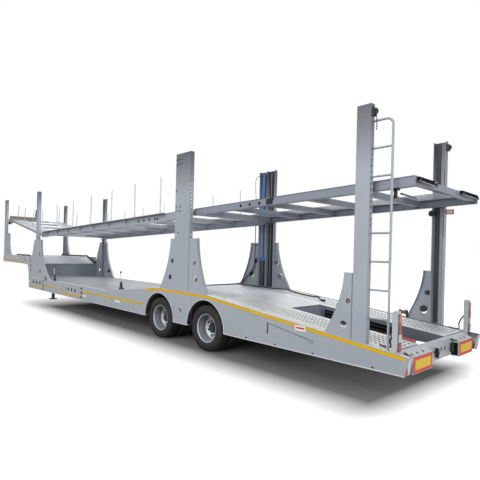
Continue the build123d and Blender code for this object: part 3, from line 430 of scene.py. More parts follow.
# %% Deck plates and tyres
def deck_plate(name, base, dull, track_centre, track_width):
    """Zinc crystals are cells; tyre paths are bands at a set distance from the middle line."""
    material, tree, shader = new_material(name)
    place = place_of(tree)
    cells = add_node(tree, "TexVoronoi", {"Vector": place, "Scale": 38.0}).outputs["Color"]
    crystal = calculate(tree, "MULTIPLY", add_node(tree, "SeparateColor", {0: cells}).outputs[0], 0.25)
    side = calculate(tree, "ABSOLUTE", part_of(tree, place, "Y"))
    off = calculate(tree, "ABSOLUTE", calculate(tree, "SUBTRACT", side, track_centre))
    band = calculate(tree, "SUBTRACT", 1.0, calculate(tree, "DIVIDE", off, track_width), clamp=True)
    streaks = ramp(tree, noise(tree, 5, 6, 0.65, stretch=(0.35, 2.2, 1)), 0.42, 0.72)
    path = calculate(tree, "MULTIPLY", calculate(tree, "MULTIPLY", band, streaks), 0.75)
    tone = calculate(tree, "ADD", crystal, path, clamp=True)
    dusty = use_group(tree, DUST, Amount=0.16)["Mask"]
    edges = use_group(tree, WEAR_AND_HIGHLIGHT_EDGES, Gain=1.5)
    colour = mix_colour(tree, tone, rgba(*base), rgba(*dull))
    colour = mix_colour(tree, dusty, colour, DUST_COLOUR)
    uneven = use_group(tree, UNEVEN, Grain=150, Low=0.32, High=0.52)
    rough = calculate(tree, "ADD", uneven["Roughness"], calculate(tree, "MULTIPLY", path, 0.25))
    shader.inputs["Metallic"].default_value = 0.25
    connect(tree, shader, colour, rough, uneven["Height"], 0.06, Normal=edges["Normal"])
    return material


def tyre_rubber():
    """Tread dust depends on the distance from the wheel's middle plane, kept in an attribute."""
    material, tree, shader = new_material("tyre_rubber")
    tread = add_node(tree, "Attribute", attribute_name="tread").outputs["Fac"]
    patches = ramp(tree, noise(tree, 7, 6), 0.3, 0.7)
    thick = calculate(tree, "ADD", 0.25, calculate(tree, "MULTIPLY", patches, 0.4))
    dusty = calculate(tree, "MULTIPLY", tread, thick)
    colour = mix_colour(tree, patches, rgba(0.065, 0.065, 0.07), rgba(0.11, 0.105, 0.10))
    colour = mix_colour(tree, dusty, colour, rgba(0.27, 0.25, 0.23))
    uneven = use_group(tree, UNEVEN, Grain=260, Low=0.55, High=0.8)
    shader.inputs["Specular IOR Level"].default_value = 0.35
    connect(tree, shader, colour, uneven["Roughness"], uneven["Height"], 0.15)
    return material


TRACK_CENTRE = 0.82
# columns: base, dull tone of the tyre paths, half width of a path
PLATES = {
    "runway_plate": ((0.81, 0.82, 0.82), (0.66, 0.67, 0.68), 0.3),
    "hump_plate": ((0.74, 0.76, 0.78), (0.58, 0.61, 0.63), 0.35),
    "well_plate": ((0.61, 0.63, 0.65), (0.50, 0.52, 0.54), 0.35),
}
for name, (base, dull, width) in PLATES.items():
    M[name] = deck_plate(name, base, dull, TRACK_CENTRE, width)
M["tyre"] = tyre_rubber()
print("plates and rubber:", ", ".join([*PLATES, "tyre"]))

# %% [markdown]
# ## Finishes on the CAD pieces
# Most CAD pieces already have the right shape, so they only change coats: each one's material
# slot takes a finish. The table goes by node name, with everything else in the frame's paint.

# %% Coats for the CAD pieces
COATS = {
    "black_plastic": ["arch_liners"],
    "chassis": ["suspension_arms", "axle_beams", "landing_legs"],
    "paint_dark": ["cross_members", "inner_rails"],
    "paint_shade": ["bulkhead", "rear_deck_frame", "platform_frame"],
    "paint_light": ["rear_beam", "neck_rails", "neck_deck", "marker_boxes", "lamp_posts"],
    "machined": ["kingpin_plate"],
    "cylinder_blue": ["lift_cylinders"],
    "hump_plate": ["hump_deck"],
    "well_plate": ["well_floor"],
    "zinc": ["main_deck_posts", "platform_posts"],
    "black_steel": ["hose_fittings"],
}
coat_of = {node: finish for finish, nodes in COATS.items() for node in nodes}
for name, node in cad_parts.items():
    coat = M[coat_of.get(name, "paint")]
    for index in range(len(node.data.materials)):
        node.data.materials[index] = coat
print("coated", len(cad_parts), "CAD pieces")

# %% [markdown]
# ## Surfaces as arrays
# A surface is a grid of points, worked out for all points at once from two parameters. Its faces
# join neighbours on that grid. A finished piece is several such surfaces put one after another in
# one mesh, so a hundred bolts are one piece and not a hundred.

# %% Mesh helpers
MERGE_DISTANCE = 2e-5


def grid_faces(rows, columns, close_rows=False, close_columns=False):
    """Quads between neighbours; a closed direction joins its last line back to its first."""
    a, b = np.meshgrid(
        np.arange(rows if close_rows else rows - 1),
        np.arange(columns if close_columns else columns - 1),
        indexing="ij",
    )
    c, d = (a + 1) % rows, (b + 1) % columns
    corners = (a * columns + b, c * columns + b, c * columns + d, a * columns + d)
    return np.stack(corners, -1).reshape(-1, 4).tolist()


def merge_points(mesh, outwards=True):
    """Merges points that meet; the faces of a new piece are then pointed outwards."""
    work = bmesh.new()
    work.from_mesh(mesh)
    bmesh.ops.remove_doubles(work, verts=work.verts, dist=MERGE_DISTANCE)
    if outwards:
        bmesh.ops.recalc_face_normals(work, faces=work.faces)
    work.to_mesh(mesh)
    work.free()


def tidy_mesh(mesh, smooth_angle):
    """Merges points, points the faces outwards and smooths the gentle edges."""
    merge_points(mesh)
    mesh.shade_smooth()
    mesh.set_sharp_from_angle(angle=math.radians(smooth_angle))


def add_piece(name, data, body):
    """An object at the origin that rides on a body and takes one of its material slots."""
    piece = bpy.data.objects.new(name, data)
    scene.collection.objects.link(piece)
    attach(piece, body)
    return piece


def make_piece(name, surfaces, finish, body="root", smooth_angle=35):
    """Joins (points, faces) surfaces into one object at the origin that rides on a body."""
    starts = np.cumsum([0] + [len(points) for points, _ in surfaces[:-1]])
    points = np.concatenate([np.asarray(points, float) for points, _ in surfaces])
    faces = [[i + start for i in face] for start, (_, some) in zip(starts, surfaces) for face in some]
    mesh = bpy.data.meshes.new(name)
    mesh.from_pydata(points.tolist(), [], faces)
    mesh.materials.append(M[finish])
    tidy_mesh(mesh, smooth_angle)
    return add_piece(name, mesh, body)


def boxes(lows, highs):
    """Boxes between low and high corners: each corner takes its low or high value per axis."""
    pick = np.array([[i & 1, i >> 1 & 1, i >> 2 & 1] for i in range(8)])
    lows, highs = np.atleast_2d(lows)[:, None, :], np.atleast_2d(highs)[:, None, :]
    points = (lows + (highs - lows) * pick).reshape(-1, 3)
    quads = np.array([(0, 2, 3, 1), (4, 5, 7, 6), (0, 1, 5, 4), (2, 6, 7, 3), (0, 4, 6, 2), (1, 3, 7, 5)])
    faces = (np.arange(len(lows))[:, None, None] * 8 + quads).reshape(-1, 4)
    return points, faces.tolist()


def slab(outline, axis, low, high):
    """An outline on the two other axes, carried from low to high along one axis."""
    outline = np.asarray(outline, float)
    count = len(outline)
    points = np.empty((2, count, 3))
    others = [i for i in range(3) if i != axis]
    points[:, :, others] = outline
    points[0, :, axis], points[1, :, axis] = low, high
    caps = [list(range(count))[::-1], [count + i for i in range(count)]]
    return points.reshape(-1, 3), grid_faces(2, count, close_columns=True) + caps


def studs(centres, axis, radius, height, sides=6, turn=0.0):
    """Many short round or six-sided bars: a ring of angles times two ends, at every centre."""
    centres = np.asarray(centres, float).reshape(-1, 1, 1, 3)
    angle = np.arange(sides) * 2 * np.pi / sides + turn
    ring = np.zeros((1, 2, sides, 3))
    first, second = [i for i in range(3) if i != axis]
    ring[..., first] = radius * np.cos(angle)
    ring[..., second] = radius * np.sin(angle)
    ring[0, 1, :, axis] = height
    points = (centres + ring).reshape(-1, 3)
    one = grid_faces(2, sides, close_columns=True)
    faces = [[i + k * 2 * sides for i in face] for k in range(len(centres)) for face in one]
    caps = [
        [i + k * 2 * sides + end for i in range(sides)]
        for k in range(len(centres))
        for end in (0, sides)
    ]
    return points, faces + caps


def tube(path, radius, sides=10):
    """A circle carried along a path, square to it; the circle's axes come from the path's turn."""
    path = np.asarray(path, float)
    along = np.gradient(path, axis=0)
    along /= np.linalg.norm(along, axis=1, keepdims=True)
    steep = abs(along[:, 2]).max() >= 0.9
    reference = (1.0, 0.17, 0.11) if steep else (0.13, 0.21, 1.0)
    across = np.cross(along, reference)
    across /= np.linalg.norm(across, axis=1, keepdims=True)
    third = np.cross(along, across)
    angle = (np.arange(sides) * 2 * np.pi / sides)[None, :, None]
    ring = radius * (np.cos(angle) * across[:, None] + np.sin(angle) * third[:, None])
    count = len(path)
    caps = [list(range(sides)), [(count - 1) * sides + i for i in range(sides)]]
    return (path[:, None] + ring).reshape(-1, 3), grid_faces(count, sides, close_columns=True) + caps


def lathe(profile, centre, axis=1, segments=64):
    """A profile of (distance along the axis, radius) turned round the axis through centre."""
    profile = np.asarray(profile, float)
    angle = np.arange(segments) * 2 * np.pi / segments
    first, second = [i for i in range(3) if i != axis]
    points = np.empty((segments, len(profile), 3))
    points[..., axis] = profile[None, :, 0]
    points[..., first] = np.cos(angle)[:, None] * profile[None, :, 1]
    points[..., second] = np.sin(angle)[:, None] * profile[None, :, 1]
    return (points + np.asarray(centre)).reshape(-1, 3), grid_faces(segments, len(profile), close_rows=True)


def both_sides(surface):
    """A surface and its mirror image across the trailer's middle plane."""
    points, faces = surface
    points = np.asarray(points, float)
    return [(points, faces), (points * (1, -1, 1), [face[::-1] for face in faces])]


def laid(surface, plane):
    """A surface made in a deck's own distances, carried into the frame by the deck's plane."""
    points, faces = surface
    return plane(*np.asarray(points).T), faces


print("mesh helpers ready")

# %% [markdown]
# ## The hoses
# A hydraulic hose comes down the right-hand mid column and runs along the deck. A thinner one
# lies in loose waves across the deck, a short pale one loops from the column's head into a steel
# pipe, and a thick bundle lies along the neck. Each keeps its real length, so each is a smooth
# NURBS line through the same control points as its CAD tube: an order of 3 gives quadratic arcs
# that leave no kinks.

# %% Hoses
HOSE_POINTS = {
    "deck_hose": [
        (4.735, -1.218, 1.572), (4.750, -1.217, 1.480), (4.832, -1.211, 1.365), (4.943, -1.204, 1.250),
        (5.065, -1.196, 1.137), (5.197, -1.187, 1.048), (5.390, -1.178, 1.026), (5.640, -1.172, 0.999),
        (5.930, -1.172, 0.968), (6.230, -1.177, 0.936), (6.498, -1.188, 0.907),
    ],
    "floor_hose": [
        (5.188, -1.130, 1.044), (5.070, -1.122, 1.056), (4.880, -0.930, 1.051), (4.650, -1.100, 1.050),
        (4.430, -0.890, 1.048), (4.210, -1.080, 1.047), (3.890, -0.870, 1.045), (3.610, -1.070, 1.046),
        (3.390, -0.960, 1.019), (3.130, -0.925, 0.992), (2.910, -0.965, 0.968), (2.790, -1.050, 0.955),
        (2.690, -0.950, 0.944), (2.620, -0.840, 0.937), (2.549, -0.798, 0.930),
    ],
    "column_hose": [
        (4.635, -1.225, 3.668), (4.700, -1.225, 3.662), (4.762, -1.224, 3.600), (4.782, -1.222, 3.500),
        (4.778, -1.221, 3.380), (4.760, -1.220, 3.260), (4.742, -1.219, 3.150), (4.735, -1.218, 3.062),
    ],
    "neck_hose": [
        (16.298, -1.120, 1.530), (15.950, -1.140, 1.531), (15.500, -1.172, 1.530), (15.000, -1.176, 1.530),
        (14.520, -1.160, 1.531), (14.190, -1.168, 1.531), (13.965, -1.176, 1.547), (13.790, -1.183, 1.475),
        (13.600, -1.188, 1.400), (13.430, -1.190, 1.334), (13.358, -1.189, 1.306),
    ],
}
# columns: node, finish, slot, radius, length, lay
HOSES = [
    ("deck_hose", "hose_black", "hose_black", 0.016, 2.025, "loose"),
    ("floor_hose", "hose_black", "hose_black", 0.013, 2.968, "loose"),
    ("column_hose", "hose_grey", "hose_grey", 0.009, 0.691, "hanging"),
    ("neck_hose", "hose_black", "hose_black", 0.028, 2.986, "loose"),
]


def lay_hose(node, finish, slot, radius, length, lay):
    """A NURBS line with a round bevel; its order and ends are set after its points."""
    points = [(X(station), side, height) for station, side, height in HOSE_POINTS[node]]
    curve = bpy.data.curves.new(node + "_run", "CURVE")
    curve.dimensions = "3D"
    spline = curve.splines.new("NURBS")
    spline.points.add(len(points) - 1)
    spline.points.foreach_set("co", [value for point in points for value in (*point, 1)])
    spline.order_u = 3
    spline.use_endpoint_u = True
    spline.resolution_u = 8
    curve.bevel_depth = radius
    curve.bevel_resolution = 4
    curve.use_fill_caps = True
    curve.materials.append(M[finish])
    hose = add_piece(node + "_run", curve, "root")
    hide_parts(node)
    return hose


for row in HOSES:
    print(lay_hose(*row).name, "laid,", row[4], "m long")

# %% [markdown]
# ## Holes in the side frames and columns
# The column gussets and the skirts are pierced: lightening holes in the gussets, oval lashing
# slots low in the skirts, and a row of setting holes up the rear face of each column. A hole
# that light comes through must be a real one. So each of these CAD pieces is copied, its loose
# triangles are merged, and one set of bars is cut out of it with a Boolean.

# %% Outlines and drilled copies
def oval(station, height, half_length, half_height, sides=20):
    """A round-ended slot: a circle whose two halves are pushed apart."""
    angle = np.arange(sides) * 2 * np.pi / sides
    small = min(half_length, half_height)
    push_x, push_z = half_length - small, half_height - small
    x = X(station) + small * np.cos(angle) + push_x * np.sign(np.round(np.cos(angle), 6))
    z = height + small * np.sin(angle) + push_z * np.sign(np.round(np.sin(angle), 6))
    return np.stack([x, z], -1)


def drilled_copy(node, cutters, finish):
    """Merges a copy of a CAD piece, cuts the bars out of it and lets the copy stand for it."""
    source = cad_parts[node].data.copy()
    source.name = node + "_drilled"
    source.materials.clear()
    source.materials.append(M[finish])
    merge_points(source, outwards=False)
    whole = bpy.data.objects.new(node + "_drilled", source)
    bars = make_piece(node + "_bars", cutters, finish)
    scene.collection.objects.link(whole)
    cut = whole.modifiers.new("holes", "BOOLEAN")
    cut.object, cut.operation, cut.solver = bars, "DIFFERENCE", "EXACT"
    bpy.context.view_layer.update()
    graph = bpy.context.evaluated_depsgraph_get()
    pierced = bpy.data.meshes.new_from_object(whole.evaluated_get(graph))
    whole.modifiers.clear()
    whole.data = pierced
    bpy.data.objects.remove(bars)
    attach(whole, "root")
    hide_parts(node)
    return whole


CUT_REACH = 0.02


def side_cutter(outline, side):
    """A bar across the skirt plane on one side."""
    return slab(outline, 1, side * (HALF_WIDTH - CUT_REACH), side * (HALF_WIDTH + CUT_REACH))


# columns: stations, height, half length, half height of lashing slots in the skirts
SKIRT_SLOTS = [
    (np.linspace(12.2, 13.18, 4), 0.635, 0.06, 0.055),
    (np.linspace(9.34, 10.06, 4), 0.625, 0.05, 0.045),
]
# stations, height, half length and half height of the small drain holes along the lower lip
DRAIN_STATIONS = (0.394, 1.277, 1.966, 2.571, 5.95, 7.2, 8.4, 9.6, 10.8, 12.1)
DRAIN_HOLE = (SKIRT_BOTTOM + 0.030, 0.018, 0.011)
for hand, side in HANDS:
    bars = [
        side_cutter(oval(station, height, half_length, half_height), side)
        for stations, height, half_length, half_height in SKIRT_SLOTS
        for station in stations
    ]
    bars += [side_cutter(oval(s, *DRAIN_HOLE, sides=12), side) for s in DRAIN_STATIONS]
    drilled_copy("side_frame_" + hand, bars, "paint")
print("pierced both side frames")

# %% Column holes
SETTING_PITCH, SETTING_R, SETTING_REACH = 0.075, 0.014, 0.04
REAR_GUSSET = [(0.752, 1.219, 0.034), (0.812, 0.905, 0.05)]
# columns: piece, rear face station, height range of the setting holes, gusset holes left and right;
# a gusset hole is (station, height, radius)
COLUMN_HOLES = [
    ("columns_rear", 0.497, (2.2, 3.25), REAR_GUSSET, REAR_GUSSET),
    (
        "columns_mid", 4.149, (2.14, 3.16),
        [(4.672, 1.614, 0.05), (4.73, 1.29, 0.055), (3.965, 1.608, 0.05), (3.91, 1.301, 0.055)],
        [(4.70, 1.62, 0.05), (4.86, 1.30, 0.055), (4.078, 1.60, 0.042), (3.98, 1.31, 0.055)],
    ),
    (
        "columns_fore", 12.499, (2.44, 3.4),
        [(13.12, 1.025, 0.05), (12.22, 1.018, 0.06), (12.30, 1.60, 0.05)],
        [(13.0, 1.025, 0.05), (12.2, 1.018, 0.06)],
    ),
    ("columns_front", 16.309, (2.9, 3.6), [(15.97, 1.68, 0.05)], [(16.1, 1.75, 0.05)]),
]
for node, rear_face, height_range, left_holes, right_holes in COLUMN_HOLES:
    bars = [side_cutter(oval(s, z, r, r), 1) for s, z, r in left_holes]
    bars += [side_cutter(oval(s, z, r, r), -1) for s, z, r in right_holes]
    for side in SIDES:
        y = side * (HALF_WIDTH - COLUMN_DEPTH / 2)
        centres = [(X(rear_face) - SETTING_REACH / 2, y, z) for z in np.arange(*height_range, SETTING_PITCH)]
        bars.append(studs(centres, 0, SETTING_R, SETTING_REACH, sides=12))
    drilled_copy(node, bars, "paint_column")
print("pierced", len(COLUMN_HOLES), "sets of columns")

# %% Dark sheets behind the holes
# painted shade: dark sheets behind the holes stand for the dark inside of the box sections
# columns: first and last station, distances in from the face, bottom, top
DARK_SHEETS = [
    (12.12, 13.26, 0.034, 0.030, 0.555, 0.705),
    (9.26, 10.14, 0.034, 0.030, 0.555, 0.705),
    (0.510, 0.512, 0.078, 0.010, 2.15, 3.28),
]
backs = []
for side in SIDES:
    for first, last, deep, shallow, low, high in DARK_SHEETS:
        y = spread(side, HALF_WIDTH - deep, HALF_WIDTH - shallow)
        backs.append(boxes((X(first), y[0], low), (X(last), y[1], high)))
make_piece("hole_backs", backs, "opening")
print(len(backs), "dark sheets stand for the shade inside the box sections")

# %% [markdown]
# ## Flanges on the gussets
# A plain gusset plate would buckle, so a narrow strip is welded square to its curved edge. The
# curve falls away as a power of the height, the same rule that the CAD piece follows. The strip is
# that curve carried inwards for the strip's width.

# %% Gusset flanges
FLANGE_WIDTH, FLANGE_PLATE = 0.06, 0.006


def gusset_flange(edge, top, reach_top, reach_foot, hollow, base, side, steps=14):
    """Reach grows from reach_top to reach_foot with the fallen share of the height, to a power."""
    share = np.linspace(0, 1, steps)
    toe = edge + reach_foot
    foot = top_of(toe) if base is None else base
    x = X(edge + reach_top + (reach_foot - reach_top) * share**hollow)
    z = top + (foot - top) * share
    inner, outer = side * (HALF_WIDTH - FLANGE_WIDTH), side * (HALF_WIDTH + 0.001)
    out = np.sign(reach_foot) * FLANGE_PLATE
    corners = [(inner, 0), (outer, 0), (outer, out), (inner, out)]
    points = np.stack([np.stack([x + dx, np.full_like(x, y), z], -1) for y, dx in corners], 1)
    caps = [list(range(4)), [(steps - 1) * 4 + k for k in range(4)]]
    return points.reshape(-1, 3), grid_faces(steps, 4, close_columns=True) + caps


# columns: column edge, top, reach at the top, reach at the foot, hollow, base height, side
FLANGES = [
    (0.688, 1.590, 0.125, 0.400, 1.7, None, 1), (0.688, 1.590, 0.125, 0.400, 1.7, None, -1),
    (4.612, 2.065, 0.120, 0.475, 1.8, None, 1), (4.612, 2.065, 0.260, 0.610, 1.8, None, -1),
    (4.145, 2.065, -0.245, -0.550, 1.8, None, 1), (4.145, 2.065, -0.085, -0.470, 1.8, None, -1),
    (12.495, 2.090, -0.313, -1.130, 2.5, None, 1), (12.495, 2.090, -0.102, -0.720, 1.8, None, -1),
    (16.305, 2.380, -0.423, -0.735, 3.0, NECK_TOP, 1), (16.305, 2.380, -0.144, -0.490, 2.0, NECK_TOP, -1),
]
make_piece("gusset_flanges", [gusset_flange(*row) for row in FLANGES], "paint", smooth_angle=40)
print(len(FLANGES), "gusset flanges")

# %% [markdown]
# ## Stripes, a shadow line and highlights on the skirts
# A yellow reflective stripe runs just under the skirt's top edge at the rear, and in shorter
# pieces further forward. A thin dark brown line between the long stripe and the edge is the top
# lip's shadow, painted. The skirt's folded edges and the arch openings have a lip whose pale paint
# is a painted highlight. Each is a band a millimetre proud of the plate, so it catches light as the real tape
# and lips do.

# %% Stripes, shadow line and highlights
STRIPE_DROP, STRIPE_WIDTH, STRIPE_END = 0.011, 0.046, 5.62
SHADOW_LINE_DROP, SHADOW_LINE_WIDTH = 0.006, 0.006
HIGHLIGHT_IN, HIGHLIGHT_OUT, HIGHLIGHT_HEIGHT = HALF_WIDTH - 0.06, HALF_WIDTH + 0.002, 0.014


def top_band(start, end, drop, width, low, high, side, steps=40):
    """A band that follows the frames' top line at a drop, between two distances from the middle."""
    corners = TOP_STATIONS[(TOP_STATIONS > start) & (TOP_STATIONS < end)]
    stations = np.union1d(np.linspace(start, end, steps), corners)
    heights = top_of(stations) - drop
    upper = np.stack([X(stations), heights], -1)
    lower = np.stack([X(stations), heights - width], -1)
    return slab(np.concatenate([upper, lower[::-1]]), 1, side * low, side * high)


def quad_band(corners, low, high, side):
    """A band inside an outline given as (station, height)."""
    return slab([(X(s), z) for s, z in corners], 1, side * low, side * high)


def arch_highlight(axle, side, steps=49):
    """A half ring round the arch: radius times angle, from skirt bottom over the top and down."""
    start = math.asin((SKIRT_BOTTOM - TYRE_R) / ARCH_R)
    angle = np.linspace(start, math.pi - start, steps)
    rings = [(ARCH_R + r) * np.stack([np.cos(angle), np.sin(angle)], -1) for r in (0, HIGHLIGHT_HEIGHT)]
    outline = np.concatenate([rings[0], rings[1][::-1]]) + (X(axle), TYRE_R)
    return slab(outline, 1, side * (HALF_WIDTH - 0.004), side * (HALF_WIDTH + 0.003))


TAPE_LOW, TAPE_HIGH = HALF_WIDTH - 0.001, HALF_WIDTH + 0.0012
# columns: corners of the short stripes forward of the wheels, as (station, height)
SHORT_STRIPES = [
    [(5.7, 0.662), (8.87, 0.652), (8.87, 0.607), (5.7, 0.62)],
    [(8.99, 0.50), (10.2, 0.50), (10.2, 0.455), (8.99, 0.455)],
    [(10.3, 0.612), (11.87, 0.612), (11.87, 0.572), (10.3, 0.572)],
    [(11.96, 0.505), (13.3, 0.505), (13.3, 0.46), (11.96, 0.46)],
    [(13.66, 1.271), (16.54, 1.371), (16.54, 1.33), (13.66, 1.232)],
]
for hand, side in HANDS:
    stripes = [top_band(0.0, STRIPE_END, STRIPE_DROP, STRIPE_WIDTH, TAPE_LOW, TAPE_HIGH, side)]
    stripes += [quad_band(corners, TAPE_LOW, TAPE_HIGH, side) for corners in SHORT_STRIPES]
    make_piece("stripes_" + hand, stripes, "stripe_yellow")
    # a thin dark brown line under the skirt's top lip: painted shadow
    rust = top_band(0.0, STRIPE_END, SHADOW_LINE_DROP, SHADOW_LINE_WIDTH, TAPE_LOW, TAPE_HIGH, side)
    make_piece("stripe_edge_" + hand, [rust], "rust_dark")
    # pale bands along the skirt's edges and round the arches: painted highlight
    lips = [top_band(-0.045, BODY_END, -0.001, 0.008, HIGHLIGHT_IN, HIGHLIGHT_OUT, side)]
    low, high = SKIRT_BOTTOM - 0.0015, SKIRT_BOTTOM + HIGHLIGHT_HEIGHT
    for start, end in ((0.0, 3.112), (4.148, 4.592), (5.628, BODY_END)):
        lips.append(quad_band([(start, high), (end, high), (end, low), (start, low)], HIGHLIGHT_IN, HIGHLIGHT_OUT, side))
    lips += [arch_highlight(axle, side) for axle in AXLES]
    make_piece("skirt_lips_" + hand, lips, "paint_pale", smooth_angle=30)
print("stripes and lips on both skirts")

# %% [markdown]
# ## Panel joints, hatch and blank plates
# The skirt is made of panels. Forward of the wheels two upright joints carry small black hinges,
# and between the wheels there is a flush hatch with a curled handle. A few plates stand where a
# maker would put labels; they are left blank.

# %% Panel joints, hinges and hatches
SINK = 0.002
JOINTS, SEAMS = (8.91, 11.91), (4.02, 5.63, 6.9, 10.25)
HINGE_HEIGHTS = (0.48, 0.60, 0.715)


def skirt_box(s0, s1, z0, z1, proud, side=1):
    """A box on the skirt's face, sunk a little into it."""
    y = spread(side, HALF_WIDTH - SINK, HALF_WIDTH + proud)
    return boxes((X(s0), y[0], z0), (X(s1), y[1], z1))


def outline_boxes(s0, s1, z0, z1, width, proud, side):
    """Four thin boxes round an opening."""
    rows = [
        (s0, s1, z1 - width, z1), (s0, s1, z0, z0 + width),
        (s0, s0 + width, z0, z1), (s1 - width, s1, z0, z1),
    ]
    return [skirt_box(*row, proud, side) for row in rows]


turn = np.linspace(0, 1, 26)[:, None]
for hand, side in HANDS:
    lines = [skirt_box(s - 0.004, s + 0.004, 0.405, top_of(s) - 0.012, 0.0012, side) for s in JOINTS]
    lines += [skirt_box(s, s + 0.003, 0.41, top_of(s) - 0.012, 0.0008, side) for s in SEAMS]
    lines += outline_boxes(4.236, 4.574, 0.528, 0.781, 0.004, 0.0010, side)
    make_piece("panel_joints_" + hand, lines, "paint_dark")
    hinges = []
    for s in JOINTS:
        for z in HINGE_HEIGHTS:
            hinges.append(skirt_box(s - 0.05, s + 0.05, z - 0.018, z + 0.018, 0.007, side))
            pin = (X(s), side * (HALF_WIDTH + 0.006), z - 0.026)
            hinges.append(studs([pin], 2, 0.009, 0.052, sides=10))
        hinges.append(skirt_box(s - 0.09, s - 0.06, 0.53, 0.57, 0.010, side))
    make_piece("panel_hinges_" + hand, hinges, "black_steel")
    curl = np.concatenate([
        X(4.375) - 0.055 * turn + 0.016 * np.sin(9 * turn),
        side * (HALF_WIDTH + 0.008 + 0.004 * np.sin(6 * turn)),
        0.690 - 0.050 * turn + 0.018 * np.cos(11 * turn),
    ], 1)
    make_piece("hatch_handle_" + hand, [tube(curl, 0.0055, 8)], "black_plastic")
print(len(JOINTS), "hinged joints and", len(SEAMS), "seams on each side")

# %% Blank plates
# columns: first and last station, bottom, top
LABELS = [(1.405, 1.592, 0.705, 0.790), (8.62, 8.86, 0.50, 0.56), (6.75, 6.99, 0.545, 0.60)]
make_piece("blank_labels", [skirt_box(*row, 0.0022) for row in LABELS], "label_white")
make_piece("label_band", [skirt_box(1.425, 1.572, 0.738, 0.762, 0.0028)], "plate_red")
print(len(LABELS), "blank plates")

# %% [markdown]
# ## Ramp pockets and column seams
# At the rear each skirt has a pocket for a hand ramp: a long shallow recess with a round nose. A dark
# step along its sloping top and a black end are painted shade, and a pale sill is a painted
# highlight. Where a column's edge meets its gusset there is a welded seam. All of these are lines a
# millimetre wide or more on a flat face, so they are thin bands, as the stripes are.

# %% Ramp pockets and column seams
NOSE_STATION, NOSE_HEIGHT = 1.330, 0.585
# painted shadow along the pocket's top and at its end, and a painted highlight on its sill
POCKET_SHADOW = [(2.126, 0.746), (NOSE_STATION, 0.613), (NOSE_STATION, 0.600), (2.126, 0.733)]
POCKET_END_SHADE = [(2.128, 0.572), (2.128, 0.745), (2.106, 0.741), (2.106, 0.572)]
POCKET_SILL_HIGHLIGHT = [(2.120, 0.578), (NOSE_STATION, 0.568), (NOSE_STATION, 0.562), (2.120, 0.570)]
SEAM_WIDTH = 0.013
# columns: station, bottom, top
COLUMN_SEAMS = [(4.128, 1.045, 2.06), (0.690, 0.73, 1.585)]
turn = np.linspace(0, math.pi, 12)
nose = np.stack([NOSE_STATION - 0.062 * np.sin(turn), NOSE_HEIGHT + 0.0225 * np.cos(turn)], -1)
nose_back = nose + np.stack([0.012 * np.sin(turn), -0.009 * np.cos(turn)], -1)
seams = [
    [(s, low), (s, high), (s + SEAM_WIDTH, high), (s + SEAM_WIDTH, low)]
    for s, low, high in COLUMN_SEAMS
]
# columns: name, finish, outlines as (station, height)
SKIRT_LINES = [
    ("pocket_shadow_", "paint_dark", [POCKET_SHADOW, np.concatenate([nose, nose_back[::-1]])]),
    ("pocket_end_shade_", "chassis", [POCKET_END_SHADE]),
    ("pocket_sill_highlight_", "paint_light", [POCKET_SILL_HIGHLIGHT]),
    ("column_seams_", "paint_dark", seams),
]
for hand, side in HANDS:
    for name, finish, outlines in SKIRT_LINES:
        bands = [quad_band(outline, TAPE_LOW, TAPE_HIGH, side) for outline in outlines]
        make_piece(name + hand, bands, finish)
print(len(SKIRT_LINES), "kinds of line on each side")

# %% [markdown]
# ## Perforated deck plates
# Car decks are perforated so that straps can be hooked anywhere and mud falls through. A plate of
# holes is a grid of equal cells. Each cell is a ring of eight quads from a square to a hole, above
# and below, with the hole's wall between. All cells are worked out together as one array, and
# neighbours share their square's points.

# %% Perforated plates
TURN = np.arange(8) * np.pi / 4
ROUND = np.stack([np.cos(TURN), np.sin(TURN)], -1)
SQUARE = ROUND / abs(ROUND).max(axis=1, keepdims=True)
SLOT = ROUND * np.where(np.arange(8) % 2, 1.13, 1.0)[:, None]
PLATE_SKIN = 0.003


def perforated(u_range, v_range, cell, slot, plane):
    """Cell centre plus half a cell times the square's ring, or plus half a hole times the hole's."""
    spans = np.array([u_range[1] - u_range[0], v_range[1] - v_range[0]])
    counts = np.maximum(1, np.round(spans / cell)).astype(int)
    step = spans / counts
    i, j = np.meshgrid(np.arange(counts[0]), np.arange(counts[1]), indexing="ij")
    centre = np.stack([u_range[0] + (i + 0.5) * step[0], v_range[0] + (j + 0.5) * step[1]], -1)
    outer = centre[:, :, None] + SQUARE * step / 2
    inner = centre[:, :, None] + SLOT * np.asarray(slot) / 2
    rings = np.stack([outer, inner], 2)
    cells = rings.shape[0] * rings.shape[1]
    flat = rings.reshape(cells, 1, 16, 2)
    w = np.array([0.0, -PLATE_SKIN])[None, :, None, None]
    layers = (np.broadcast_to(flat, (cells, 2, 16, 2)), np.broadcast_to(w, (cells, 2, 16, 1)))
    points = np.concatenate(layers, -1)
    k = np.arange(8)
    n = (k + 1) % 8
    quads = np.concatenate([
        np.stack([k, n, n + 8, k + 8], -1),
        np.stack([k + 16, k + 24, n + 24, n + 16], -1),
        np.stack([k + 8, n + 8, n + 24, k + 24], -1),
    ])
    faces = (np.arange(cells)[:, None, None] * 32 + quads).reshape(-1, 4)
    # the plate's own edges: two quads of the square's ring on each outer side
    outer_sides = (
        (i == 0, (3, 4)), (i == counts[0] - 1, (7, 0)),
        (j == 0, (5, 6)), (j == counts[1] - 1, (1, 2)),
    )
    edges = []
    for mask, corners in outer_sides:
        base = np.flatnonzero(mask.ravel())[:, None] * 32
        for a in corners:
            b = (a + 1) % 8
            edges.append(base + np.array([a, b, b + 16, a + 16]))
    faces = np.concatenate([faces] + edges)
    return plane(*points.reshape(-1, 3).T), faces.tolist()


print("a cell has", 2 * len(np.concatenate([SQUARE, SLOT])), "points")

